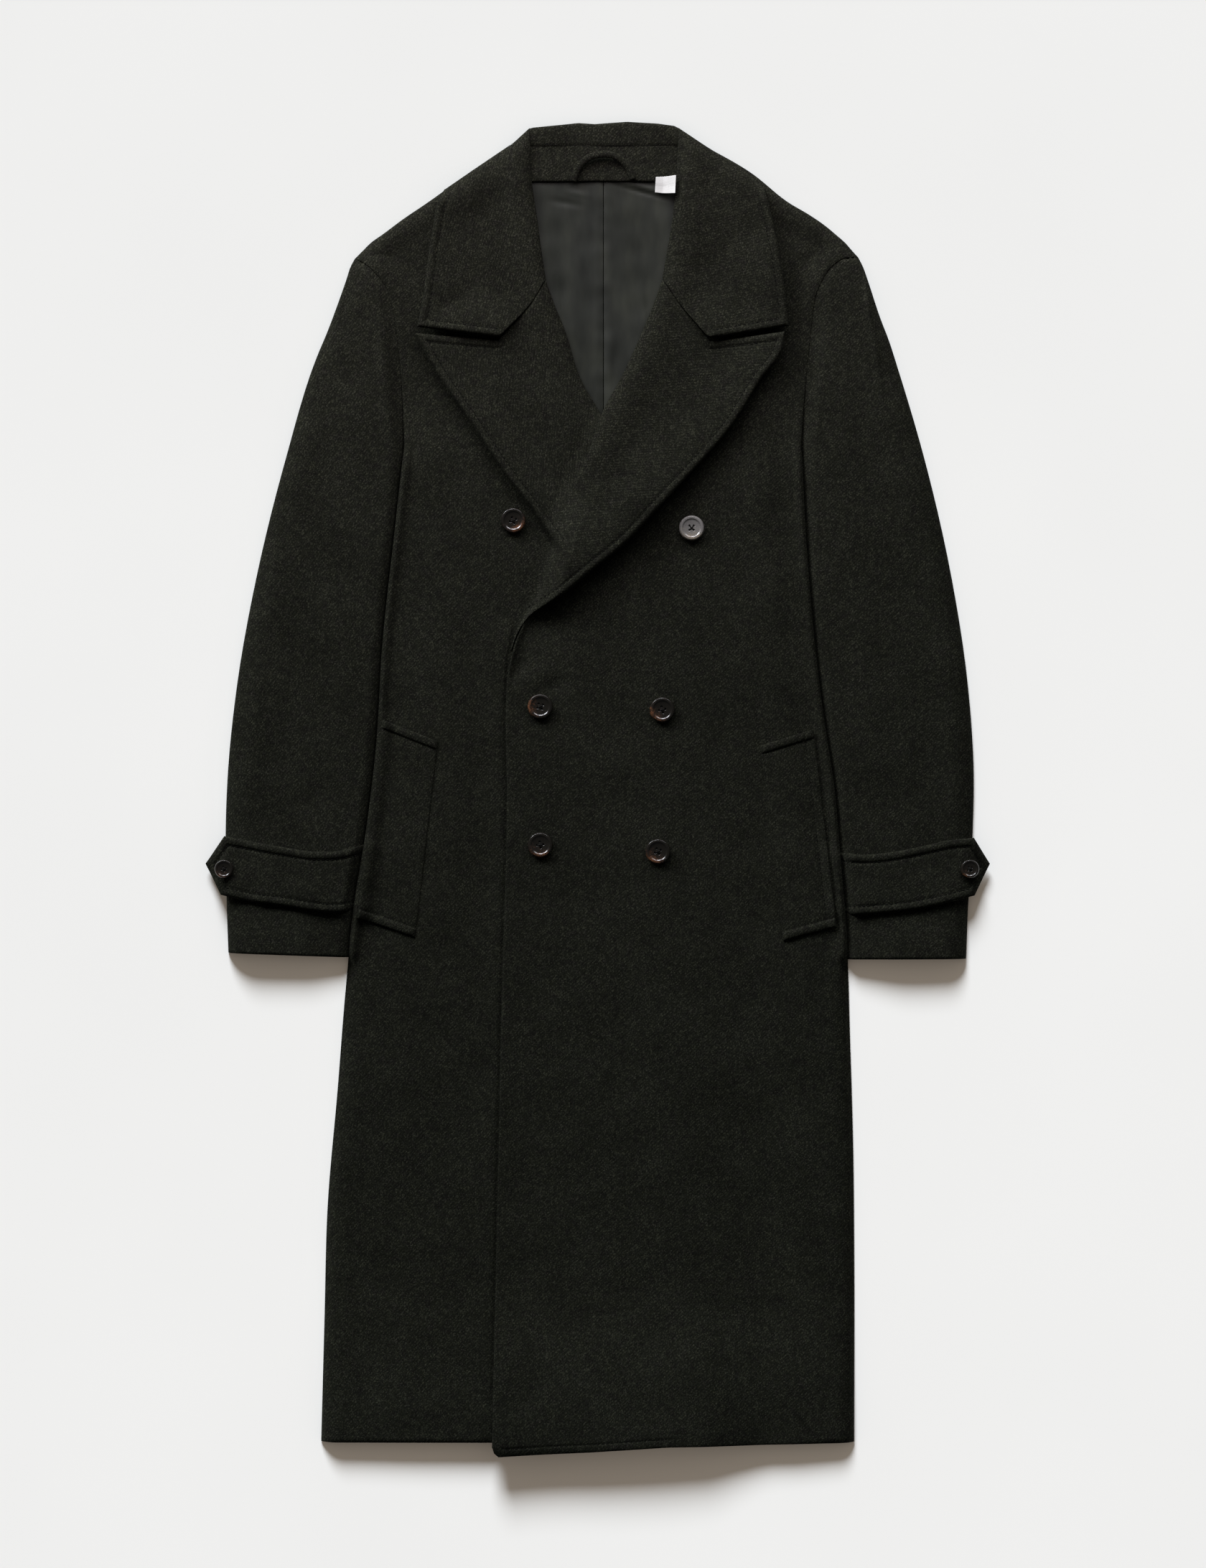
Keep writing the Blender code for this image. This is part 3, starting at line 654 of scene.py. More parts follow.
def twisted_thread(name, dark, pale):
    """Sewing thread: short fibres between two close tones, matt with a slight gloss."""
    material, tree, shader = new_material(name)
    place = add_node(tree, "TexCoord", "Object")
    twist = add_node(tree, "TexNoise", "Fac", {"Vector": place, "Scale": 1.0 / TWIST, "Detail": 2.0})
    tone = add_node(tree, "ValToRGB", "Color", {"Fac": twist}, [(0.35, dark), (0.65, pale)])
    set_inputs(tree, shader, {"Base Color": tone, "Roughness": 0.6, "Specular IOR Level": 0.05})
    return material


def woven_label():
    """White satin tape: raised wefts a little paler than the gaps between them."""
    material, tree, shader = new_material("woven_satin_tape")
    cloth = add_node(tree, "UVMap", "UV", uv_map="cloth_map")
    weft = add_node(tree, "TexWave", "Fac", {
        "Vector": cloth, "Scale": WAVE_STEP / WEFT, "Distortion": 0.6}, bands_direction="Y")
    tone = add_node(tree, "ValToRGB", "Color", {"Fac": weft}, [(0.0, "#aeb0ab"), (1.0, "#b9bbb6")])
    bump = add_node(tree, "Bump", "Normal", {"Height": weft, "Strength": 0.2, "Distance": 0.1 * MM})
    set_inputs(tree, shader, {"Base Color": tone, "Normal": bump, "Roughness": 0.5})
    return material


WOOL = wool_twill()
LINING = satin_lining()
HORN = polished_horn("polished_dark_horn", ("#15130f", "#1d1814", "#33241a", "#5e3d28"))
# The upper left button's horn is painted pale grey: a painted reflection of the lamps on its face, a lit copy
# of the dark horn.
HORN_PAINTED_REFLECTION = polished_horn("horn_painted_reflection", ("#62605d", "#686661", "#706a60", "#746858"))
# The topstitch thread is painted near black, darker than the cloth: painted shade for the stitched groove it
# lies in.
TOPSTITCH_PAINTED_SHADE = twisted_thread("topstitch_thread_painted_groove_shade", "#060605", "#0c0c0a")
BUTTON_THREAD = twisted_thread("black_button_thread", "#0b0b0a", "#1c1b19")
LABEL = woven_label()
print("materials:", len(bpy.data.materials))

# %% [markdown]
# ## Outlines
#
# The outlines were measured on the photograph and are given in millimetres, across and down. One side
# could be mirrored, but the coat doesn't lie quite evenly, so each side has its own. The wearer's
# right side is at the left of the picture. Few points are enough: the curves are smooth.

# %% Outlines of the body
SIDES = ("right", "left")
INWARDS = {"right": 1.0, "left": -1.0}
SHOULDER = {
    "right": [(-76, 17), (-120, 47), (-156, 73), (-181, 90), (-199, 103.5), (-209, 110.5), (-217, 118.5),
              (-224, 125.5)],
    "left": [(90, 17), (142, 47), (176, 74), (194, 84.6), (209.5, 95.2), (220, 104), (228, 111), (234, 118),
             (239.5, 124)]}
ARMHOLE = {
    "right": [(-224, 125.5), (-218, 128.4), (-211, 133), (-205, 139), (-199, 146), (-194, 153.5), (-191, 164),
              (-187, 182), (-184, 206), (-180.5, 245), (-178, 296)],
    "left": [(239.5, 124), (229, 125), (222, 127.5), (216.5, 132), (212, 136.5), (208, 142.5), (201, 157.5),
             (197, 182), (194, 210), (190.5, 245), (187, 296)]}
SIDE = {
    "right": [(-178, 296), (-187, 377), (-198, 478), (-204, 574), (-214, 657), (-225, 725), (-232, 793),
              (-240, 892), (-249, 997), (-252, 1103), (-255, 1214)],
    "left": [(187, 296), (193, 407), (207, 544), (217, 610), (224, 690), (229, 750), (232, 839), (235, 944),
             (236, 1050), (236, 1214)]}
OUTER_FOLD = {
    "right": [(-224, 125.5), (-228, 133), (-231.5, 144), (-240, 168), (-249, 192), (-259, 216), (-288, 311),
              (-314, 416), (-333, 522), (-341, 600), (-343, 654), (-342, 720), (-340.5, 764.5)],
    "left": [(239.5, 124), (242.5, 129.5), (249, 147), (260, 180), (267.5, 199.5), (277, 229), (301, 311),
             (325, 416), (341, 522), (346, 600), (345, 654), (341, 720), (339, 770)]}


def moved(points, across):
    """Points moved by a distance across."""
    return [(x + across, y) for x, y in points]


def side_line(side):
    """The body's outer line beside the sleeve: armhole, then side seam."""
    return np.vstack([smooth_curve(ARMHOLE[side]), smooth_curve(SIDE[side])[1:]])


def out_from(line, grid, side):
    """How far each point lies out from a line, across and away from the coat's middle."""
    return (np.interp(grid[..., 1], line[:, 1], line[:, 0]) - grid[..., 0]) * INWARDS[side]


def from_table(table, place):
    """Value at a place from a table of places and values, linear between its rows."""
    return np.interp(place, list(table), list(table.values()))


# %% [markdown]
# ## The back
#
# The back lies on the floor and only its edges could ever show, under the fronts. It could be
# shaped like them, but a plain flat wall is all that shows, a little narrower than the fronts, which
# roll down over its sides. Its hem is turned up, so the wall is thicker there.

# %% Back
BACK_WALL = 2.6
BACK_INSET = 4.0
BACK_HEM = 1211.0
BACK_HEM_SHARE = 0.984
HEM_TURN = 45.0
HEM_WALL = 2.2


def make_back():
    """Flat sheet between the two sides, its wall thickening by the turned-up hem."""
    guides = []
    for side in SIDES:
        line = SHOULDER[side][:-1] + ARMHOLE[side][1:-1] + SIDE[side][:-1]
        hem = (SIDE[side][-1][0] * BACK_HEM_SHARE, BACK_HEM)
        guides.append(moved(line, BACK_INSET * INWARDS[side]) + [hem])
    grid = patch(guides, 120, 40)
    top = BACK_WALL + HEM_WALL * ease(BACK_HEM - 2.0 * HEM_TURN, BACK_HEM, grid[..., 1])
    cloth_piece("back", grid, top, BACK_WALL + HEM_WALL, WOOL, floor=0.0)


make_back()

# %% [markdown]
# ## Sleeves
#
# Each sleeve is a flattened tube of two cloths. The under sleeve lies on the floor. The top sleeve
# rolls down to the floor along its outer fold, swells a little along its middle and sinks
# towards the body, which lies over its inner edge: at the armhole that is a narrow seam, and
# further down a steep soft valley. One closed tube could be squashed, but two sheets are what is cut.

# %% Sleeves
UNDER_WALL = 2.4
UNDER_INSET = 6.0
UNDER_SHORT = 3.0
SLEEVE_WALL = 2.5
SLEEVE_HEIGHT = 14.0
EDGE_LEVEL = 1.4
FOLD_RADIUS = 24.0
TUCK = 12.0
TUCK_STOP = 20.0
HEAD_TUCK = (10.0, 6.0)
VALLEY_WIDTH = {125: 5, 150: 9, 170: 14, 230: 17, 300: 13, 420: 10, 600: 10, 690: 11, 770: 12}
VALLEY_DEPTH = {125: 1.2, 150: 2.4, 170: 4.6, 230: 7.5, 300: 10.0, 420: 11.0, 600: 11.0, 690: 9.4, 770: 6.5}
TUCK_SLOPE = {200: 2.5, 300: 1.0}
TUCK_LEVEL = 2.9
HEAD_DROP = {125: 4.0, 190: 2.0, 300: 0.0}
STEEP_RUN = (240.0, 330.0)
CUFF_LIFT = 5.0
CUFF_RUN = 90.0
CUFF_SPREAD = 50.0
CUFF_EDGE = (2.4, 2.0)
CUFF_GROOVE = (30.0, 2.0, 0.25)
SLEEVE_WAVES = (0.22, 60.0, 11)
CALM_RUN = (2.0, 30.0)
CUFF_SLANT = {"right": 4.5, "left": 0.5}
SLEEVE_WALES = {"right": 52.0, "left": 45.0}
SLEEVE_FOLDS = {
    "right": [((-205, 180), (-222, 330), 14, 0.8), ((-250, 300), (-285, 560), 22, -0.7),
              ((-300, 420), (-322, 640), 12, 0.6), ((-232, 420), (-246, 640), 11, 0.7),
              ((-300, 640), (-240, 610), 9, -0.6), ((-262, 240), (-240, 330), 10, -0.6)],
    "left": [((214, 180), (232, 330), 14, 0.8), ((262, 300), (290, 560), 22, -0.7),
             ((312, 420), (332, 640), 12, 0.5), ((240, 430), (252, 650), 11, 0.8),
             ((300, 640), (250, 600), 9, -0.6), ((272, 250), (252, 345), 10, -0.6)]}
HEAD_CREASES = {
    "right": [((-232, 142), (-241, 196), 2.2, 2.0)],
    "left": [((246, 136), (249.5, 186), 2.4, 3.0), ((248, 166), (260, 246), 2.6, 3.0)]}
CREASED = np.array([0.0, 0.3, 0.8, 1.6, 2.6, 3.6, 4.6, 5.6, 6.6, 7.8, 9.2, 10.8, 12.6, 14.6, 16.8, 19.0,
                    21.4])


def sleeve_lines(side):
    """Outer fold and inner edge of a sleeve; the inner edge is tucked under the body's side."""
    inwards = INWARDS[side]
    outer = OUTER_FOLD[side]
    head, (_, cuff) = outer[0], outer[-1]
    body = side_line(side)
    tucked = [point for point in ARMHOLE[side][1:-1] + SIDE[side] if point[1] < cuff - TUCK_STOP]
    inner = [(head[0] + HEAD_TUCK[0] * inwards, head[1] - HEAD_TUCK[1])] + moved(tucked, TUCK * inwards)
    inner.append((np.interp(cuff, body[:, 1], body[:, 0]) + TUCK * inwards, cuff + CUFF_SLANT[side]))
    return outer, inner


def make_under_sleeve(side):
    """Flat sheet, set in from the outer fold."""
    outer, inner = sleeve_lines(side)
    set_in = moved(outer, UNDER_INSET * INWARDS[side])
    set_in[-1] = (set_in[-1][0], set_in[-1][1] - UNDER_SHORT)
    grid = patch([set_in, inner], 60, 16)
    top = np.full(grid.shape[:2], UNDER_WALL)
    cloth_piece(f"sleeve_{side}_under", grid, top, UNDER_WALL, WOOL, floor=0.0)


def make_top_sleeve(side):
    """Top sleeve: quarter round at the fold, another down to the valley along the body, placed folds."""
    outer, inner = sleeve_lines(side)
    cuff = outer[-1][1]
    body = side_line(side)
    grid = patch([outer, inner], 150, 60, ends=(PLAIN, SWELLED), sides=(CREASED, PLAIN))
    down = grid[..., 1]
    beside = out_from(body, grid, side)
    apart = np.where(beside > 0, distance_to(grid, body[::3]), 0.0)
    width = from_table(VALLEY_WIDTH, down)
    steep = ease(*STEEP_RUN, down)
    valley = steep * fall(apart, width) + (1.0 - steep) * (1.0 - ease(0.0, 1.0, apart / width))
    top = SLEEVE_HEIGHT - from_table(HEAD_DROP, down) - from_table(VALLEY_DEPTH, down) * valley
    top -= np.minimum(np.maximum(-beside, 0.0) * from_table(TUCK_SLOPE, down), top - TUCK_LEVEL)
    top += CUFF_LIFT * ease(cuff - CUFF_RUN, cuff, down) * ease(0.0, CUFF_SPREAD, apart)
    top += folds_at(grid, SLEEVE_FOLDS[side]) + unevenness(grid, *SLEEVE_WAVES) * ease(*CALM_RUN, apart)
    to_fold = distance_to(grid, smooth_curve(outer)[::3])
    top = EDGE_LEVEL + (top - EDGE_LEVEL) * (1.0 - fall(to_fold, FOLD_RADIUS))
    top += folds_at(grid, HEAD_CREASES[side])
    to_cuff = distance_to(grid, grid[-1, ::2])
    top -= fall(to_cuff, *CUFF_EDGE) + groove(to_cuff, *CUFF_GROOVE)
    cloth_piece(f"sleeve_{side}_top", grid, top, SLEEVE_WALL, WOOL, wales=SLEEVE_WALES[side])


for side in SIDES:
    make_under_sleeve(side)
    make_top_sleeve(side)

# %% [markdown]
# ## Cuff straps
#
# A pointed strap of doubled cloth crosses each sleeve above the cuff. One end is caught under the
# body's side, and the point stands out past the sleeve's outer fold, stiff enough not to droop. A
# flat strip could be shrunk onto the sleeve, but it would sag with it; this one rests on its high places.

# %% Straps
STRAP_WALL = 2.8
STRAP_REACH = 14.0
STRAP_LEVEL = 5.4
STRAP_LEAN = 3.0
STRAP_TUCKED = 1.6
TUCKED_RUN = (10.0, -4.0)
TUCKED_LEVEL = 4.0
STRAP_WAVES = (0.25, 30.0, 31)
STRAP_STITCH = 7.6
STRAP_EDGE = (2.6, 1.8)
STRAP_SWELL = (3.6, 2.8, 0.6)
STRAP_GROOVE = (STRAP_STITCH, 1.1, 0.7)
LAYER_GAP = 0.3
STRAP = {
    "right": [[(-343, 657), (-322, 661), (-290, 667), (-262, 671), (-238, 670.5), (-212, 664)],
              [(-361, 682.5), (-325, 688), (-290, 693), (-262, 697), (-240, 698), (-214, 694)],
              [(-346.5, 711), (-318, 717), (-288, 721), (-265, 725), (-247, 727), (-217, 725)]],
    "left": [[(345, 658.5), (321, 661), (294, 667), (267, 672), (242, 674), (215, 671)],
             [(360.4, 682.5), (325, 689), (294, 695), (265, 699), (242, 701), (217, 700)],
             [(346, 711.5), (321, 718), (291, 724), (261, 727.5), (240, 729), (220, 729)]]}


def make_strap(side):
    """Doubled strap on the softened sleeve: finished edges all round, a stitched groove inside them."""
    grid = patch(STRAP[side], 60, 26, ends=(SWELLED, PLAIN), sides=(SWELLED, SWELLED))
    point, _, upper, lower = edges(grid)
    to_edge = distance_to(grid, point, upper, lower)
    base = np.maximum(read_map(softened(STRAP_REACH), grid), STRAP_LEVEL)
    tucked = ease(*TUCKED_RUN, out_from(side_line(side), grid, side))
    base -= (base - TUCKED_LEVEL) * tucked
    lean = STRAP_LEAN * np.linspace(1.0, 0.0, grid.shape[1]) * (1.0 - tucked)
    top = base + LAYER_GAP + STRAP_WALL + lean - STRAP_TUCKED * tucked + unevenness(grid, *STRAP_WAVES)
    top += groove(to_edge, *STRAP_SWELL) - fall(to_edge, *STRAP_EDGE)
    top -= groove(to_edge, *STRAP_GROOVE)
    wall = STRAP_WALL - STRAP_TUCKED * tucked
    cloth_piece(f"cuff_strap_{side}", grid, top, wall, WOOL, wales=40.0, edge=1.8, rim=0.5)


for side in SIDES:
    make_strap(side)

# %% [markdown]
# ## Inside the neck
#
# Between the lapels the inside of the back shows: two lining halves that meet in a seam, a strip of
# coat cloth under the collar, the collar's own inner band, a hanger loop and a small bare label.
# The lining is slack. A simulation could drape it, but its few creases show where they lie, so the
# soft upright folds and the small creases near its seam and top are placed one by one.

# %% Lining and facing
LINING_WALL = 0.9
LINING_LEVEL = 1.9
LINING_SEAM = 5.0
LINING_WAVES = (0.25, 38.0, 5)
SEAM_SWELL = (5.0, 3.5, 0.3)
SEAM_DIP = 0.5
LINING_OUTSIDE = [(78, 54), (74, 110), (66, 180), (44, 240), (22, 292)]
LINING_FOLDS = [
    ((-30, 60), (-26, 250), 14, 0.5), ((-46, 70), (-34, 200), 9, -0.4), ((-12, 66), (-10, 240), 8, -0.3),
    ((22, 66), (20, 250), 11, 0.5), ((38, 80), (30, 220), 9, -0.4), ((52, 76), (44, 190), 8, 0.4),
    ((-44, 72), (-14, 77), 3, -0.9), ((-30, 64), (-8, 68), 2.5, 0.6), ((20, 55), (64, 66), 2.4, 1.1),
    ((18, 58), (66, 71), 1.8, -1.1), ((10, 150), (30, 215), 6, -0.8), ((14, 190), (6, 240), 5, 0.9)]
FACING_WALL = 2.0
FACING_LEVEL = 4.4
FACING_EDGE = (2.0, 1.6)
FACING = [[(-68, 22.5), (-67, 55.5)], [(5, 22.0), (5, 55.0)], [(80, 22.5), (79, 55.5)]]
FACING_FOLDS = [((-40, 30), (-10, 50), 6, 0.8), ((30, 48), (60, 30), 7, -0.7)]


def make_lining(side):
    """Half of the lining: a slack sheet with hand-placed folds, dipping into the seam in the middle."""
    sign = -INWARDS[side]
    outside = [(LINING_SEAM + sign * reach, down) for reach, down in LINING_OUTSIDE]
    seam = [(LINING_SEAM + sign * 0.3, LINING_OUTSIDE[k][1]) for k in (0, -1)]
    grid = patch([seam, outside], 110, 44)
    to_seam = np.abs(grid[..., 0] - LINING_SEAM)
    puckers = 0.15 * np.sin(grid[..., 1] / 2.6) * np.exp(-to_seam / 5.0)
    sag = folds_at(grid, LINING_FOLDS) + unevenness(grid, *LINING_WAVES) + puckers
    seam_form = groove(to_seam, *SEAM_SWELL) - SEAM_DIP * np.exp(-to_seam / 2.2)
    top = BACK_WALL + LINING_LEVEL + sag + seam_form
    cloth_piece(
        f"lining_{side}", grid, top, LINING_WALL, LINING, wales=90.0, edge=0.5, rim=0.3)


def make_facing():
    """Strip of coat cloth across the back neck, its lower edge turned over the lining."""
    grid = patch(FACING, 26, 70)
    bow = 0.5 * folds_at(grid, FACING_FOLDS)
    top = BACK_WALL + FACING_LEVEL + bow - fall(distance_to(grid, grid[-1]), *FACING_EDGE)
    cloth_piece("neck_facing", grid, top, FACING_WALL, WOOL, wales=38.0)


for side in SIDES:
    make_lining(side)
make_facing()

# %% [markdown]
# The collar's inner band stands up from the neck seam, rolls over its top and falls behind. A sheet on
# the pile can't turn back under itself, so this is one profile, a hook seen from the side, carried
# across the neck; its top edge wavers a little.

# %% Collar band
BAND_WALL = 2.2
BAND_PROFILE = [(23.2, 5.6), (22.6, 6.8), (20.6, 7.7), (16.0, 8.5), (10.0, 9.0), (5.0, 9.1), (2.0, 8.7),
                (0.4, 7.4), (0.0, 5.6), (0.8, 3.4), (3.4, 1.4), (8.0, 0.9), (16.0, 0.9)]
BAND_FOOT = BAND_PROFILE[0][0]
BAND_ENDS = (-64.0, 75.2)
BAND_TOP = {-64: 6.6, -60: 5.4, -41: 3.5, -18: 1.1, -3: 2.1, 27: 0.0, 55: 1.6, 70: 3.7, 75: 6.2}


def band_layer(line, across):
    """A profile line carried across: each place squeezes it up to the collar's top line."""
    squeeze = 1.0 - from_table(BAND_TOP, across) / BAND_FOOT
    down = BAND_FOOT - (BAND_FOOT - line[:, :1]) * squeeze
    grid = np.stack([np.broadcast_to(across, down.shape), down], axis=-1)
    waver = 0.25 * np.sin(grid[..., 0] / 11.0) * (line[:, 1:] > 6.0)
    return grid, np.maximum(line[:, 1:], 0.1) + waver


def make_collar_band():
    """Hook profile carried across the neck, with its wall along the profile's normals."""
    profile = smooth_curve(BAND_PROFILE, 6)
    across = np.linspace(*BAND_ENDS, 120)
    face, back = (band_layer(line, across) for line in (profile, profile + BAND_WALL * sideways(profile)))
    run = np.broadcast_to(lengths_along(profile)[:, None], face[1].shape)
    unrolled = np.stack([face[0][..., 0], -run], axis=-1)
    cloth_map = np.stack([turned(unrolled, 50.0)] * 2)
    points = np.stack([to_metres(*face), to_metres(*back)])
    faces = shell_faces(*run.shape, True)
    piece = add_piece("cloth_collar_stand", points, faces, cloth_map, WOOL, "collar_stand")
    lay_on_pile(*face)


make_collar_band()

# %% [markdown]
# ## Fronts
#
# The wearer's right front lies on the back and the inner edges of the sleeves; the left front laps
# over it and sinks into it, so the lower cloth swells beside the lap. A sculpted sheet would do, but one
# large patch from the inner edge to shoulder, armhole and side keeps every seam where it was measured,
# with closer columns where the lap lies. Along the shoulder and the skirt's sides it rolls down to
# the floor, over the sleeves its side is a soft fold, and its turned-up hem lifts the last hand's breadth.

# %% Outlines of the fronts
FRONT_EDGE = [(-83.2, 512), (-84.4, 540), (-83.5, 620), (-88, 795), (-92, 980), (-97, 1214)]
INNER_EDGE = {
    "right": [(-72, 26), (-69, 74), (-62, 125), (-52, 164), (-37, 205), (-14, 251), (20, 300), (56, 390),
              (86, 490), (92, 560), (93, 715), (95, 944), (98, 1214)],
    "left": [(83, 26), (80, 74), (72, 125), (61, 164), (47, 205), (28, 245), (8, 288), (-14, 342), (-40, 402),
             (-54, 440), (-68, 462), (-75, 477), (-79.5, 492)] + FRONT_EDGE}
LAP_LINE = [(-110, 41), (-108, 85), (-107, 125), (-104, 200), (-97, 300), (-84, 400), (-76, 445),
            (-77.5, 470), (-80.8, 486)] + FRONT_EDGE
LAPPED = np.array([0.0, 0.5, 1.1, 1.8, 2.6, 3.6, 5.0, 8.0])
LAP_COLUMNS = 30
HEM = 1214.0
HEM_DROP = {-97: 2.0, -95: 8.0, -91: 11.5, -60: 9.6, -6: 7.0, 64: 2.4, 128: 2.0, 236: 0.5}


def front_grid(side):
    """Two bands, above and below the shoulder tip, so that no row crosses the seam; closer at the lap."""
    below = np.vstack([smooth_curve(ARMHOLE[side], 5), smooth_curve(SIDE[side], 5)[1:]])
    bands = []
    for part, outer, rows, ends in ((slice(0, 3), SHOULDER[side], 30, (PLAIN, PLAIN)),
                                    (slice(2, None), below, 200, (PLAIN, SWELLED))):
        inner = INNER_EDGE[side][part]
        if side == "right":
            under = patch([inner, LAP_LINE[part]], rows, LAP_COLUMNS, ends, (SWELLED, LAPPED))
            seen = patch([LAP_LINE[part], outer], rows, 40, ends, (LAPPED, ROLLED))
            bands.append(np.hstack([under, seen[:, 1:]]))
        else:
            bands.append(patch([inner, outer], rows, 84, ends, (SWELLED, ROLLED)))
    grid = np.vstack([bands[0], bands[1][1:]])
    if side == "left":
        grid[..., 1] += from_table(HEM_DROP, grid[..., 0]) * ease(1120.0, HEM, grid[..., 1])
    return grid


# %% Fronts
FRONT_WALL = 2.6
FRONT_WALES = {"right": 47.0, "left": 43.0}
FRONT_WAVES = {"right": (0.24, 70.0, 22), "left": (0.24, 70.0, 21)}
BRIDGE_REACH = 30.0
BRIDGE_RUN = (15.0, 60.0)
HEM_LIFT = 8.0
HEM_RUN = (150.0, 0.0)
HEM_WALL_RUN = (120.0, 10.0)
HEM_EDGE = (2.0, 1.0)
FULLNESS = 1.2
FULLNESS_RUN = 70.0
SIDE_LOFT = 4.6
LOFT_START = (230.0, 330.0)
LOFT_END = (HEM, 1100.0)
LOFT_NEAR = (0.0, 5.0)
LOFT_FAR = (30.0, 130.0)
LOFT_FADE = 0.7
SHOULDER_RADIUS = 20.0
SEAM_RUN = (26.0, 0.0)
SEAM_END = (330.0, 260.0)
SEAM_STEP = {125: 0.45, 150: 0.3, 230: 0.25, 300: 2.9}
ROUND_RADIUS = {20: 2.0, 140: 2.2, 200: 3.0, 250: 3.5, 330: 5.5, 745: 5.5, 790: 18, 1226: 18}
ROUND_DROP = {20: 0.4, 140: 0.3, 200: 0.1, 250: 0.2, 330: 4.6, 745: 4.6, 790: 14, 1226: 14}
STITCH_INSET = 7.4
HEM_GROOVE = (STITCH_INSET, 0.9, 0.5)
HEM_GROOVE_END = (75.0, 60.0)
LAP_START = (460.0, 486.0)
LAP_RISE = 0.7
LAP_RUN = (30.0, 0.0)
LAP_EDGE = (1.6, 1.0)
LAP_SWELL = 0.6
SWELL_START = (452.0, 480.0)
UNDER_DROP = 2.6
UNDER_RUN = (60.0, 0.0)
TURN_HOLLOW = 2.8
TURN_SWELL = 0.6
# Where the lapel turns into the lap: from and to, down the coat, and near and far, beside the edge.
TURN = {"right": ((448.0, 470.0), (530.0, 490.0)), "left": ((445.0, 470.0), (532.0, 484.0))}
BESIDE = {"right": ((0.3, 3.6), (34.0, 4.0)), "left": ((0.4, 5.0), (44.0, 6.0))}
FRONT_FOLDS = {
    "right": [((-187, 104), (-191, 154), 8, -1.4), ((-89, 850), (-148, 975), 20, -1.2),
              ((-165, 760), (-205, 1000), 24, 1.1), ((-150, 480), (-120, 760), 26, 0.8),
              ((-110, 560), (-100, 820), 14, -0.7), ((-170, 1000), (-150, 1200), 30, 0.9),
              ((-222, 830), (-236, 1060), 13, 0.9), ((-130, 300), (-165, 430), 18, -0.8),
              ((-110, 420), (-165, 540), 16, 0.6)],
    "left": [((204, 102), (199, 158), 8, -1.3), ((-66, 493), (-81, 514), 4.5, -2.0),
             ((-56, 524), (-23, 514), 5.0, -2.2), ((-66, 519), (-46, 503), 7, 1.2),
             ((128, 900), (196, 1110), 24, -1.2), ((60, 760), (100, 1010), 30, 1.0),
             ((-40, 800), (-20, 1100), 26, 0.8), ((10, 690), (40, 900), 18, -0.8),
             ((140, 420), (120, 640), 26, 0.7), ((170, 300), (150, 430), 16, -0.8),
             ((200, 850), (216, 1080), 14, 0.8), ((20, 440), (80, 500), 16, 0.6),
             ((-70, 1040), (-60, 1190), 16, -0.5)]}


def front_rest(side, grid, to_side):
    """What a front lies on: the softened pile, on the left bridged more widely away from the side."""
    rest = read_map(softened(CLOTH_REACH), grid)
    if side == "left":
        rest += (read_map(softened(BRIDGE_REACH), grid) - rest) * ease(*BRIDGE_RUN, to_side)
    return rest


def rolled_side(side, grid, top, to_side):
    """The top brought down to the armhole seam, to the shoulder and, by its own radius, at the side."""
    down = grid[..., 1]
    drop = from_table(ROUND_DROP, down)
    seam = SLEEVE_HEIGHT - from_table(HEAD_DROP, down) - from_table(VALLEY_DEPTH, down)
    seam += from_table(SEAM_STEP, down) + drop
    top = top + (seam - top) * ease(*SEAM_RUN, to_side) * ease(*SEAM_END, down)
    skyline = distance_to(grid, smooth_curve(SHOULDER[side])[::2], smooth_curve(OUTER_FOLD[side][:3])[::2])
    top -= (top - EDGE_LEVEL) * fall(skyline, SHOULDER_RADIUS)
    low = np.maximum(top - drop, EDGE_LEVEL)
    return top - (top - low) * fall(to_side, from_table(ROUND_RADIUS, down))


def lap_height(side, grid, to_inner, to_hem):
    """Left: raised edge, hollow where the lapel turns into it, stitched hem. Right: swell beside it."""
    across, down = grid[..., 0], grid[..., 1]
    turning = ease(*TURN[side][0], down) * ease(*TURN[side][1], down)
    near, far = BESIDE[side]
    if side == "left":
        edge = ease(*LAP_START, down) * (LAP_RISE * ease(*LAP_RUN, to_inner) - fall(to_inner, *LAP_EDGE))
        hollow = TURN_HOLLOW * turning * ease(*near, to_inner) * ease(*far, to_inner)
        return edge - hollow - groove(to_hem, *HEM_GROOVE) * ease(*HEM_GROOVE_END, across)
    to_lap = distance_to(grid, smooth_curve(LAP_LINE)[::3])
    to_lap[:, :LAP_COLUMNS + len(SWELLED) + len(LAPPED)] = 0.0
    swell = LAP_SWELL * ease(*SWELL_START, down) + TURN_SWELL * turning
    return swell * ease(*near, to_lap) * ease(*far, to_lap) - UNDER_DROP * ease(*UNDER_RUN, to_inner)


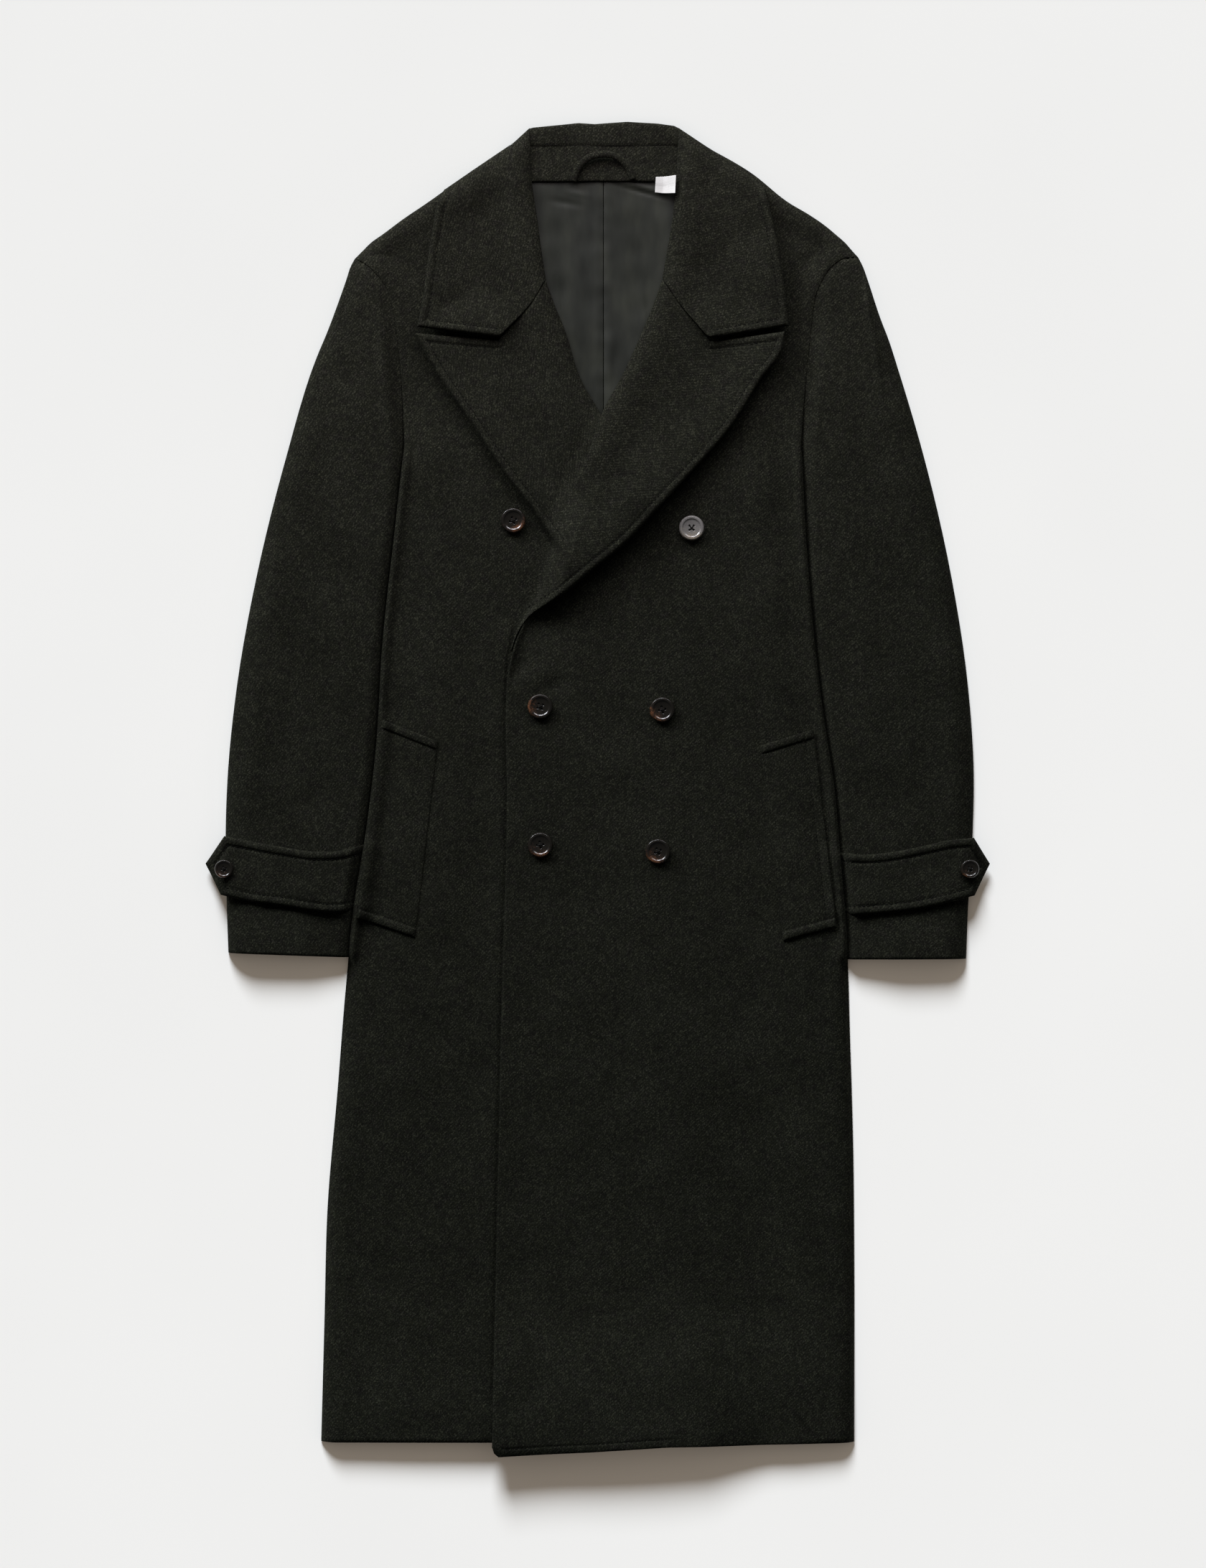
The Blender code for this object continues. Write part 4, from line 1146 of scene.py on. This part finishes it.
def make_front(side):
    """Front: what it rests on plus wall, fullness, folds and lap, with its side rolled and its hem lifted."""
    grid = front_grid(side)
    down = grid[..., 1]
    to_hem, to_inner, to_side = (distance_to(grid, line) for line in edges(grid)[1:])
    top = front_rest(side, grid, to_side) + LAYER_GAP + FRONT_WALL
    top += FULLNESS * ease(0.0, FULLNESS_RUN, to_side) + HEM_LIFT * ease(*HEM_RUN, to_hem)
    loft = SIDE_LOFT * ease(*LOFT_START, down) * ease(*LOFT_END, down)
    top += loft * ease(*LOFT_NEAR, to_side) * (1.0 - LOFT_FADE * ease(*LOFT_FAR, to_side))
    waves = unevenness(grid, *FRONT_WAVES[side]) * ease(*CALM_RUN, to_side)
    top = rolled_side(side, grid, top + folds_at(grid, FRONT_FOLDS[side]) + waves, to_side)
    top += lap_height(side, grid, to_inner, to_hem) - fall(to_hem, *HEM_EDGE)
    wall = FRONT_WALL + HEM_LIFT * ease(*HEM_WALL_RUN, to_hem)
    cloth_piece(f"front_{side}", grid, top, wall, WOOL, wales=FRONT_WALES[side])


for side in SIDES:
    make_front(side)

# %% [markdown]
# ## Lapels and collar
#
# Lapels and collar leaves are two cloths sewn together and turned back, so their walls are thicker and
# their edges swell outside the line of topstitching. They could be folded out of the fronts, but as
# sheets of their own each can spring off the front towards its outer edge, most of all the upper
# lapel, whose edge throws the widest shadow. Along the inner line the cloth rolls, and the roll is a
# quarter round, not a crease.

# %% Outlines of lapels and collar
LAPEL = {
    "right": [[(-48, 145.5), (-40, 168), (-31, 190), (-16, 236), (3, 270), (22, 308), (40, 340)],
              [(-61, 168), (-46, 230), (-18, 290), (20, 348)],
              [(-81, 189.8), (-62, 245), (-32, 305), (6, 358)],
              [(-92, 201.2), (-74, 250), (-44, 310), (-6, 370)],
              [(-168, 195), (-158, 215), (-140, 244), (-121, 271), (-100, 303), (-79, 333), (-62, 355),
               (-44, 380), (-28, 402)]],
    "left": [[(59, 145.5), (51, 168), (42, 190), (24, 230), (3, 270), (-10, 308), (-22, 335), (-35, 359),
              (-44, 379), (-52, 406), (-61, 434), (-70, 453), (-77, 470), (-80.6, 486)],
             [(75.5, 170), (62, 230), (36, 295), (6, 360), (-32, 420), (-63, 449), (-75.6, 470.5),
              (-80.2, 486)],
             [(98, 196.4), (84, 240), (58, 302), (20, 368), (-29, 428), (-61.5, 452), (-74.6, 471),
              (-80, 486)],
             [(103.5, 202.4), (92, 245), (66, 305), (26, 370), (-29.5, 430), (-61.7, 453), (-74.4, 471.2),
              (-79.9, 486)],
             [(171.5, 194), (170, 207), (148, 240), (123, 280), (106, 301), (86, 323), (54, 358), (26, 388),
              (-7, 415), (-34, 437), (-54, 448.5), (-63.5, 455), (-71.3, 464.5), (-76, 474), (-79.8, 486)]]}
COLLAR = {
    "right": [[(-63, 6), (-62, 30), (-61, 53), (-56, 88), (-52, 118), (-48, 144.5)],
              [(-79, 20.5), (-82, 60), (-80, 110), (-60.5, 166.5)],
              [(-102, 37), (-108, 80), (-106, 130), (-80, 188)],
              [(-115, 44), (-122, 90), (-119, 145), (-91, 198.8)],
              [(-141, 62), (-147, 75), (-152, 100), (-156.6, 129), (-161, 164), (-166, 189.5)]],
    "left": [[(74.4, 6), (73, 30), (72, 53), (67, 99), (63, 122), (59, 144.5)],
             [(100, 22.8), (98, 60), (92, 110), (75, 168.5)],
             [(120, 35), (122, 80), (118, 135), (97, 194.5)],
             [(131, 41.7), (134, 90), (128, 145), (103, 200.2)],
             [(152, 60), (158, 82), (164, 110), (171, 152.5), (175, 188.5)]]}
# The two leaves meet along the gorge seam, and past it each has a free edge at the notch.
LAPEL_GORGE = {side: [guide[0] for guide in LAPEL[side][:4]] for side in SIDES}
LAPEL_NOTCH = {side: [guide[0] for guide in LAPEL[side][3:]] for side in SIDES}
COLLAR_GORGE = {side: [guide[-1] for guide in COLLAR[side][:4]] for side in SIDES}
COLLAR_NOTCH = {side: [guide[-1] for guide in COLLAR[side][3:]] for side in SIDES}

# %% Lapels
LEAF_WALL = 3.6
LEAF_REACH = {"right": 10.0, "left": 24.0}
LEAF_EDGE = (2.3, 2.2)
LEAF_SWELL = (3.4, 2.8, 0.7)
LEAF_GROOVE = (STITCH_INSET, 1.1, 0.5)
GORGE_RADIUS = 1.3
TAIL_WALL = 1.2
TAIL_RUN = (446.0, 485.0)
LAPEL_SPRING = {"right": 4.4, "left": 6.0}
LAPEL_RUN = {"right": 45.0, "left": 62.0}
SPRING_END = (430.0, 325.0)
SPRING_GAIN = 0.3
SPRING_GAIN_RUN = (270.0, 340.0)
LANDING_RUN = (300.0, 350.0)
LANDED_RUN = (26.0, 0.0)
LAPEL_ROLL = 11.0
LAPEL_BELLY = (16.0, 13.0, 1.6)
LAPEL_WAVES = (0.16, 40.0, 41)
LAPEL_DROP = {145: 5.5, 230: 5.5, 290: 5.0, 420: 7.0, 470: 6.0, 486: 2.5}
LAPEL_WALES = {"right": 84.0, "left": 4.0}
LAPEL_FOLDS = {
    "right": [((-70, 215), (-30, 300), 16, 0.5), ((-120, 215), (-80, 290), 14, -0.4),
              ((-110, 240), (-60, 250), 12, 0.3)],
    "left": [((80, 210), (50, 300), 18, 0.6), ((120, 215), (100, 280), 14, -0.4)]}


def finished_edge(to_edge, to_gorge):
    """Swelled edge, turned over at the rim and pulled down along its stitching, and the dip at the gorge."""
    swell = groove(to_edge, *LEAF_SWELL) - fall(to_edge, *LEAF_EDGE)
    return swell - groove(to_edge, *LEAF_GROOVE), -fall(to_gorge, GORGE_RADIUS)


def make_lapel(side, rest):
    """Lapel: rests on the pile, springs towards the edge, rolls off along the inner line."""
    grid = patch(LAPEL[side], 120, 54, ends=(SWELLED, PLAIN), sides=(ROLLED, SWELLED))
    down = grid[..., 1]
    _, _, roll, outer = edges(grid)
    to_outer = distance_to(grid, outer)
    to_edge = np.minimum(to_outer, distance_to(grid, np.array(LAPEL_NOTCH[side])))
    to_roll = distance_to(grid, roll)
    tail = ease(*TAIL_RUN, down)
    wall = LEAF_WALL + (TAIL_WALL - LEAF_WALL) * tail
    spring = LAPEL_SPRING[side] * ease(LAPEL_RUN[side], 0.0, to_outer) * (1.0 - 0.8 * tail)
    if side == "right":
        spring *= ease(*SPRING_END, down)
    else:
        spring *= 1.0 + SPRING_GAIN * ease(*SPRING_GAIN_RUN, down)
    top = read_map(rest, grid) + LAYER_GAP + wall + spring - 1.0 * tail
    top += groove(to_roll, *LAPEL_BELLY) * (1.0 - tail)
    top += folds_at(grid, LAPEL_FOLDS[side]) + unevenness(grid, *LAPEL_WAVES)
    swell, seam = finished_edge(to_edge, distance_to(grid, smooth_curve(LAPEL_GORGE[side])))
    top += swell * (1.0 - 0.5 * tail) + seam
    drop = from_table(LAPEL_DROP, down)
    rounded = fall(to_roll, LAPEL_ROLL)
    if side == "left":
        landed = ease(*LANDING_RUN, down)
        drop += (top - read_map(pile, grid) - 0.5 - drop) * landed
        rounded = rounded * (1.0 - landed) + ease(*LANDED_RUN, to_roll) * landed
    top -= drop * rounded
    cloth_piece(f"lapel_{side}", grid, top, wall, WOOL, wales=LAPEL_WALES[side], edge=2.0, rim=0.5)


# %% Collar leaves
COLLAR_SPRING = 6.0
COLLAR_RUN = 50.0
COLLAR_ROLL = 9.0
COLLAR_BELLY = (18.0, 14.0, 1.8)
COLLAR_WAVES = (0.16, 40.0, 43)
COLLAR_DROP = {6: 2.5, 60: 5.0, 145: 5.5}
COLLAR_WALES = {"right": 72.0, "left": 14.0}
SHOULDER_ROLL = 16.0
RIDGE = {69: 7.6, 125: 4.0}
RIDGE_MIDDLE = 5.5


def make_collar(side, rest):
    """Collar leaf: springs towards its edge, rolls off into the neck and over the shoulder."""
    grid = patch(COLLAR[side], 80, 64, ends=(ROLLED, SWELLED), sides=(ROLLED, SWELLED))
    shoulder, _, roll, outer = edges(grid)
    to_edge = distance_to(grid, outer, np.array(COLLAR_NOTCH[side]))
    to_roll = distance_to(grid, roll)
    top = read_map(rest, grid) + LAYER_GAP + LEAF_WALL + COLLAR_SPRING * ease(COLLAR_RUN, 0.0, to_edge)
    top += groove(to_roll, *COLLAR_BELLY) + unevenness(grid, *COLLAR_WAVES)
    top += sum(finished_edge(to_edge, distance_to(grid, smooth_curve(COLLAR_GORGE[side]))))
    top -= from_table(COLLAR_DROP, grid[..., 1]) * fall(to_roll, COLLAR_ROLL)
    ridge = from_table(RIDGE, np.abs(grid[..., 0] - RIDGE_MIDDLE))
    top -= np.maximum(top - ridge, 0.0) * fall(distance_to(grid, shoulder), SHOULDER_ROLL)
    cloth_piece(f"collar_{side}", grid, top, LEAF_WALL, WOOL, wales=COLLAR_WALES[side], edge=2.0, rim=0.5)


# The left lapel is stiffer over the right one, so it rests on a map softened further.
rest_map = softened(LEAF_REACH["right"])
make_lapel("right", rest_map)
make_lapel("left", softened(LEAF_REACH["left"]))
for side in SIDES:
    make_collar(side, rest_map)

# %% [markdown]
# ## Pocket welts
#
# The slanted pockets are welts set almost flush: their long edges are stitched down flat, and only
# the two ends stand up as short rolled bands. A modelled pocket would show no more, so each is one
# thin sheet on the front whose height follows the ends.

# %% Welts
WELT = {"right": [[(-198, 550), (-210, 641), (-221, 732)], [(-147, 570), (-157.5, 660), (-168, 750)]],
        "left": [[(149, 574), (159.5, 663), (170, 753)], [(198, 559), (208.5, 650), (219, 740)]]}
WELT_BODY = 0.9
WELT_END = 1.4
WELT_BAND = 7.6
WELT_STITCH = 1.6
OUTER_STITCH = 8.5
WELT_GAP = 0.15
WELT_EDGE = (3.0, 0.85)
END_GROOVE = (WELT_BAND + 0.5, 0.8, 0.3)
WELT_GROOVE = (WELT_STITCH, 0.7, 0.15)
OUTER_SWELL = (4.0, 3.0, 0.8)
OUTER_GROOVE = (OUTER_STITCH, 0.9, 0.45)


def make_welt(side):
    """Thin sheet on the front: two rolled bands at its ends, a stitched groove along its inner edge."""
    grid = patch(WELT[side], 110, 26, ends=(SWELLED, SWELLED))
    upper, lower, left, right = edges(grid)
    inner, outer = (right, left) if side == "right" else (left, right)
    to_end = distance_to(grid, upper, lower)
    to_inner, to_outer = distance_to(grid, inner), distance_to(grid, outer)
    to_side = np.minimum(to_inner, to_outer)
    top = read_map(softened(CLOTH_REACH), grid) + WELT_GAP + WELT_BODY - fall(to_side, *WELT_EDGE)
    half = 0.5 * WELT_BAND
    roll = np.sqrt(np.clip(1.0 - ((to_end - half) / half) ** 2, 0.0, 1.0))
    top += WELT_END * roll * ease(0.0, 4.0, to_side + 0.6) - groove(to_end, *END_GROOVE)
    top -= groove(to_inner, *WELT_GROOVE)
    if side == "left":
        top += groove(to_outer, *OUTER_SWELL) - groove(to_outer, *OUTER_GROOVE)
    cloth_piece(f"pocket_welt_{side}", grid, top, WELT_BODY, WOOL, edge=1.0, rim=0.3)


for side in SIDES:
    make_welt(side)

# %% [markdown]
# ## Buttons
#
# Each button is turned horn: a raised rim, a dished middle and four holes sewn with black thread. It
# is one profile carried round in a circle. The holes could be cut with a Boolean, but they are pressed
# into the dish as pits, fine enough that the grid follows them. Every button is turned and tipped a
# little differently, as sewn.

# %% Rods for thread
RING_SHARE = np.array([0.0, 0.08, 0.5, 0.92, 1.0])
RING_SIZE = np.array([0.25, 0.85, 1.0, 0.85, 0.25])
RING_SIDES = 6


def rods(starts, ends, radius, bow=0.0):
    """Joined rods with rounded ends: rings of six points from each start to its end, arched by the bow."""
    run = ends - starts
    heading = run / np.maximum(np.linalg.norm(run, axis=1, keepdims=True), 1e-6)
    aside = np.stack([-heading[:, 1], heading[:, 0], np.zeros(len(run))], axis=1)
    aside /= np.maximum(np.linalg.norm(aside, axis=1, keepdims=True), 1e-6)
    upward = np.cross(heading, aside)
    turn = np.linspace(0.0, 2.0 * math.pi, RING_SIDES, endpoint=False)[:, None]
    middle = starts[:, None] + RING_SHARE[None, :, None] * run[:, None]
    middle[..., 2] += bow * (1.0 - (2.0 * RING_SHARE - 1.0) ** 2)
    spoke = np.cos(turn) * aside[:, None] + np.sin(turn) * upward[:, None]
    points = middle[:, :, None] + radius * RING_SIZE[None, :, None, None] * spoke[:, None]
    rod_faces = tube_faces(len(RING_SHARE), RING_SIDES, True)
    first = np.arange(len(run)) * len(RING_SHARE) * RING_SIDES
    faces = [[corner + start for corner in face] for start in first.tolist() for face in rod_faces]
    return points.reshape(-1, 3), faces


# %% Buttons
FRONT_BUTTON = 11.5
CUFF_BUTTON = 8.5
# Name, place across and down, radius, turn of the holes, side of the cloud, tip in degrees, horn.
BUTTONS = [("button_upper_right", -78, 367, FRONT_BUTTON, 20, 300, 1.0, HORN),
           # This button's horn is painted pale grey: a painted reflection of the lamps.
           ("button_upper_left", 86, 374, FRONT_BUTTON, 45, 268, -3.0, HORN_PAINTED_REFLECTION),
           ("button_middle_right", -53, 538, FRONT_BUTTON, 30, 190, 1.5, HORN),
           ("button_middle_left", 59, 541, FRONT_BUTTON, 12, 222, 2.0, HORN),
           ("button_lower_right", -53, 665, FRONT_BUTTON, 8, 262, 1.0, HORN),
           ("button_lower_left", 55, 671, FRONT_BUTTON, 25, 244, 2.0, HORN),
           ("cuff_button_right", -343, 687, CUFF_BUTTON, 15, 250, 2.0, HORN),
           ("cuff_button_left", 341, 687, CUFF_BUTTON, 35, 240, 2.0, HORN)]
BUTTON_SIDES = 96
BUTTON_FACE = [(0.0, 2.2), (0.28, 2.25), (0.42, 2.36), (0.56, 2.5), (0.64, 2.62), (0.69, 2.85), (0.74, 3.2),
               (0.79, 3.42), (0.85, 3.38), (0.92, 2.9), (0.98, 2.0), (1.0, 1.3), (0.96, 0.7), (0.84, 0.35),
               (0.7, 0.15), (0.4, 0.1), (0.0, 0.1)]
FACE_SHARE = 0.6
MIDDLE_SHARE = 0.004
DISH_LEVEL = 2.1
BUTTON_LIFT = 0.5
HOLE_PLACE = 0.165
HOLE_SIZE = 0.075
HOLE_DEPTH = 1.7
THREAD_RADIUS = 0.55 * MM
THREAD_BOW = 0.35 * MM
SHANK_RADIUS = 1.8 * MM


def make_button(node, across, down, radius, turned_by, brown_side, tip, horn):
    """Profile turned about the middle; a pit at each hole; the horn's brown cloud lies to one side."""
    profile = smooth_curve(BUTTON_FACE, 6)
    profile[:, 0] = np.maximum(profile[:, 0], MIDDLE_SHARE)
    turn = np.linspace(0.0, 2.0 * math.pi, BUTTON_SIDES, endpoint=False)
    x = radius * profile[:, :1] * np.cos(turn)
    y = radius * profile[:, :1] * np.sin(turn)
    z = np.repeat(profile[:, 1:] * radius / FRONT_BUTTON, BUTTON_SIDES, axis=1)
    corners = math.radians(turned_by) + np.arange(4) * 0.5 * math.pi
    holes = HOLE_PLACE * radius * math.sqrt(2.0) * np.stack([np.cos(corners), np.sin(corners)], axis=1)
    on_face = (np.arange(len(profile)) < FACE_SHARE * len(profile))[:, None]
    for hole_x, hole_y in holes:
        apart = np.hypot(x - hole_x, y - hole_y) / (HOLE_SIZE * radius)
        z -= on_face * HOLE_DEPTH * ease(1.25, 0.75, apart)
    under = np.stack([across + x, down - y], axis=-1)
    seat = read_map(pile, under).max() + BUTTON_LIFT
    slope = math.tan(math.radians(tip))
    points = to_metres(under, z + seat + y * slope)
    lean = math.radians(brown_side)
    cos, sin = math.cos(lean), math.sin(lean)
    face_map = -np.stack([x * cos + y * sin, y * cos - x * sin], axis=-1) * MM
    add_piece("turned_" + node, points, tube_faces(*x.shape, False), face_map, horn, node)
    level = seat + DISH_LEVEL * radius / FRONT_BUTTON
    sewn = np.column_stack([across + holes[:, 0], down - holes[:, 1], level + holes[:, 1] * slope])
    return sewn[:2], sewn[2:], (across, down, seat)


def make_button_thread(sewn):
    """Two crossed stitches in each dish and a short wound shank under each button."""
    starts, ends, foot = (np.vstack(rows) for rows in zip(*sewn))
    stitches = (to_metres(line, line[:, 2]) for line in (starts, ends))
    points, faces = rods(*stitches, THREAD_RADIUS, THREAD_BOW)
    low, high = to_metres(foot, foot[:, 2] - 1.2), to_metres(foot, foot[:, 2] + 0.3)
    high[:, 1] += 0.2 * MM
    shank_points, shank_faces = rods(low, high, SHANK_RADIUS)
    faces += [[corner + len(points) for corner in face] for face in shank_faces]
    points = np.vstack([points, shank_points])
    add_piece("button_thread", points, faces, points[:, :2], BUTTON_THREAD)


make_button_thread([make_button(*row) for row in BUTTONS])
print("buttons:", len(BUTTONS))

# %% [markdown]
# ## Hanger loop and label
#
# The loop is a narrow strip of coat cloth, sewn into a soft tube and set in an arch across the
# facing. A curve with a bevel could make it, but a flat oval carried along the arch can stand a
# little higher in the middle and carry the twill's map. The label is a small sheet like the others.

# %% Loop and label
LOOP_PATH = [(-23, 55), (-18.2, 43), (-8.4, 33.6), (5.5, 30.6), (18.2, 33.2), (27, 41.5), (32.5, 53)]
LOOP_HALF = 3.1
LOOP_THICK = 1.5
LOOP_SIDES = 16
LOOP_RISE = 2.6
LABEL_SIDES = [[(53.2, 51.0), (52.4, 65.2)], [(71.6, 50.4), (70.8, 67.0)]]
LABEL_WALL = 0.6


def make_loop():
    """Oval carried along the arch: across the path it follows the path's normal, up it is thinner."""
    path = smooth_curve(LOOP_PATH, 12)
    reach = lengths_along(path)
    turn = np.linspace(0.0, 2.0 * math.pi, LOOP_SIDES, endpoint=False)
    grid = path[:, None] + LOOP_HALF * np.cos(turn)[None, :, None] * sideways(path)[:, None]
    rise = LOOP_RISE * np.sin(np.pi * reach / reach[-1]) ** 2
    centre = read_map(softened(CLOTH_REACH), path) + LOOP_THICK + 0.2 + rise
    height = centre[:, None] + LOOP_THICK * np.sin(turn) * (1.0 - 0.25 * np.cos(turn) ** 2)
    unrolled = np.stack(np.broadcast_arrays(turn * LOOP_HALF, reach[:, None]), axis=-1)
    points, cloth_map = to_metres(grid, height), turned(unrolled, 30.0)
    faces = tube_faces(*height.shape, True)
    add_piece("cloth_hanger_loop", points, faces, cloth_map, WOOL, "hanger_loop")


def make_label():
    """Small bare tape: lies over the facing's edge, its free lower end curling up."""
    grid = patch(LABEL_SIDES, 24, 24)
    curl = ease(58.0, 68.0, grid[..., 1]) * (0.8 + 0.6 * ease(60.0, 52.0, grid[..., 0]))
    top = read_map(softened(6.0), grid) + 0.2 + LABEL_WALL + curl
    cloth_piece("neck_label", grid, top, LABEL_WALL, LABEL, wales=92.0, edge=0.3, rim=0.25)


make_loop()
make_label()

# %% [markdown]
# ## Topstitching
#
# A line of stitches runs inside every swelled edge, and closer to the edges of the pocket welts. A bump
# in the material could hint at it, but each stitch here is a short rod, sunk at both ends; they are
# placed at an even pitch on a line that is set in from the edge, at the height of the cloth below,
# and joined into one mesh. Bar tacks beside two buttons and on the straps are short crossed lines.
# The stitches' thread is painted near black, darker than the cloth, as painted shade of the groove they lie
# in.

# %% Stitch lines
STITCH_PITCH = 4.2
STITCH_LENGTH = 2.9
STITCH_RADIUS = 0.27
STITCH_SINK = 0.5
STITCH_BOW = 0.15
WELT_CUT = (8.0, 8.0)
BAR_TACKS = [(-35, 541), (-35.6, 666), (-322, 690), (325, 688.5)]
NECK_SEAM = [(-61, 20.6), (-20, 22.4), (5, 22.9), (40, 22.2), (72, 20.2)]
HEM_STITCH = [(-85, 1217.5), (-40, 1215.8), (-6, 1213.6), (30, 1211), (64, 1208.8)]


def inset(points, distance=0.0, ends=(0.0, 0.0)):
    """Smooth line set in to its right-hand side by a distance, cut shorter at its ends."""
    if len(points) > 2:
        line = smooth_curve(points)
    else:
        line = np.linspace(*np.array(points, float), 60)
    line = line + distance * sideways(line)
    return along(line, np.linspace(ends[0], lengths_along(line)[-1] - ends[1], 200))


def stitch_rods(line):
    """Starts and ends of the stitches on a line, at the height of the pile."""
    places = np.arange(0.0, lengths_along(line)[-1] - STITCH_LENGTH, STITCH_PITCH)
    starts, ends = along(line, places), along(line, places + STITCH_LENGTH)
    level = read_map(pile, 0.5 * (starts + ends)) - STITCH_SINK
    return to_metres(starts, level), to_metres(ends, level)


def stitch_lines():
    """Every stitched line: leaves, straps, welts, bar tacks, the collar's neck seam and the hem."""
    rows = []
    for side in SIDES:
        sign = INWARDS[side]
        upper, middle, lower = STRAP[side]
        rows += [(LAPEL[side][4], -sign * STITCH_INSET, (8.0, 14.0)),
                 (LAPEL_NOTCH[side], -sign * STITCH_INSET, (2.0, 10.0)),
                 (COLLAR[side][4], -sign * STITCH_INSET, (6.0, 8.0)),
                 (COLLAR_NOTCH[side], sign * STITCH_INSET, (2.0, 8.0)),
                 (upper, sign * STRAP_STITCH, (4.0, 6.0)),
                 (lower, -sign * STRAP_STITCH, (4.0, 6.0)),
                 ([middle[0], upper[0]], sign * STRAP_STITCH, (2.0, 3.0)),
                 ([lower[0], middle[0]], sign * STRAP_STITCH, (4.0, 2.0))]
    rows += [(WELT["right"][1], WELT_STITCH, WELT_CUT), (WELT["left"][0], -WELT_STITCH, WELT_CUT),
             (WELT["left"][1], OUTER_STITCH, WELT_CUT)]
    for across, down in BAR_TACKS:
        rows += [([(across, down - 1.8), (across, down + 1.8)],),
                 ([(across - 3.4, down), (across + 1.6, down)],)]
    rows += [(NECK_SEAM,), (HEM_STITCH,)]
    return [inset(*row) for row in rows]


def make_topstitching():
    """All stitches as one mesh."""
    starts, ends = (np.vstack(rows) for rows in zip(*map(stitch_rods, stitch_lines())))
    points, faces = rods(starts, ends, STITCH_RADIUS * MM, STITCH_BOW * MM)
    add_piece("topstitching", points, faces, points[:, :2], TOPSTITCH_PAINTED_SHADE)
    print("topstitches:", len(starts))


make_topstitching()
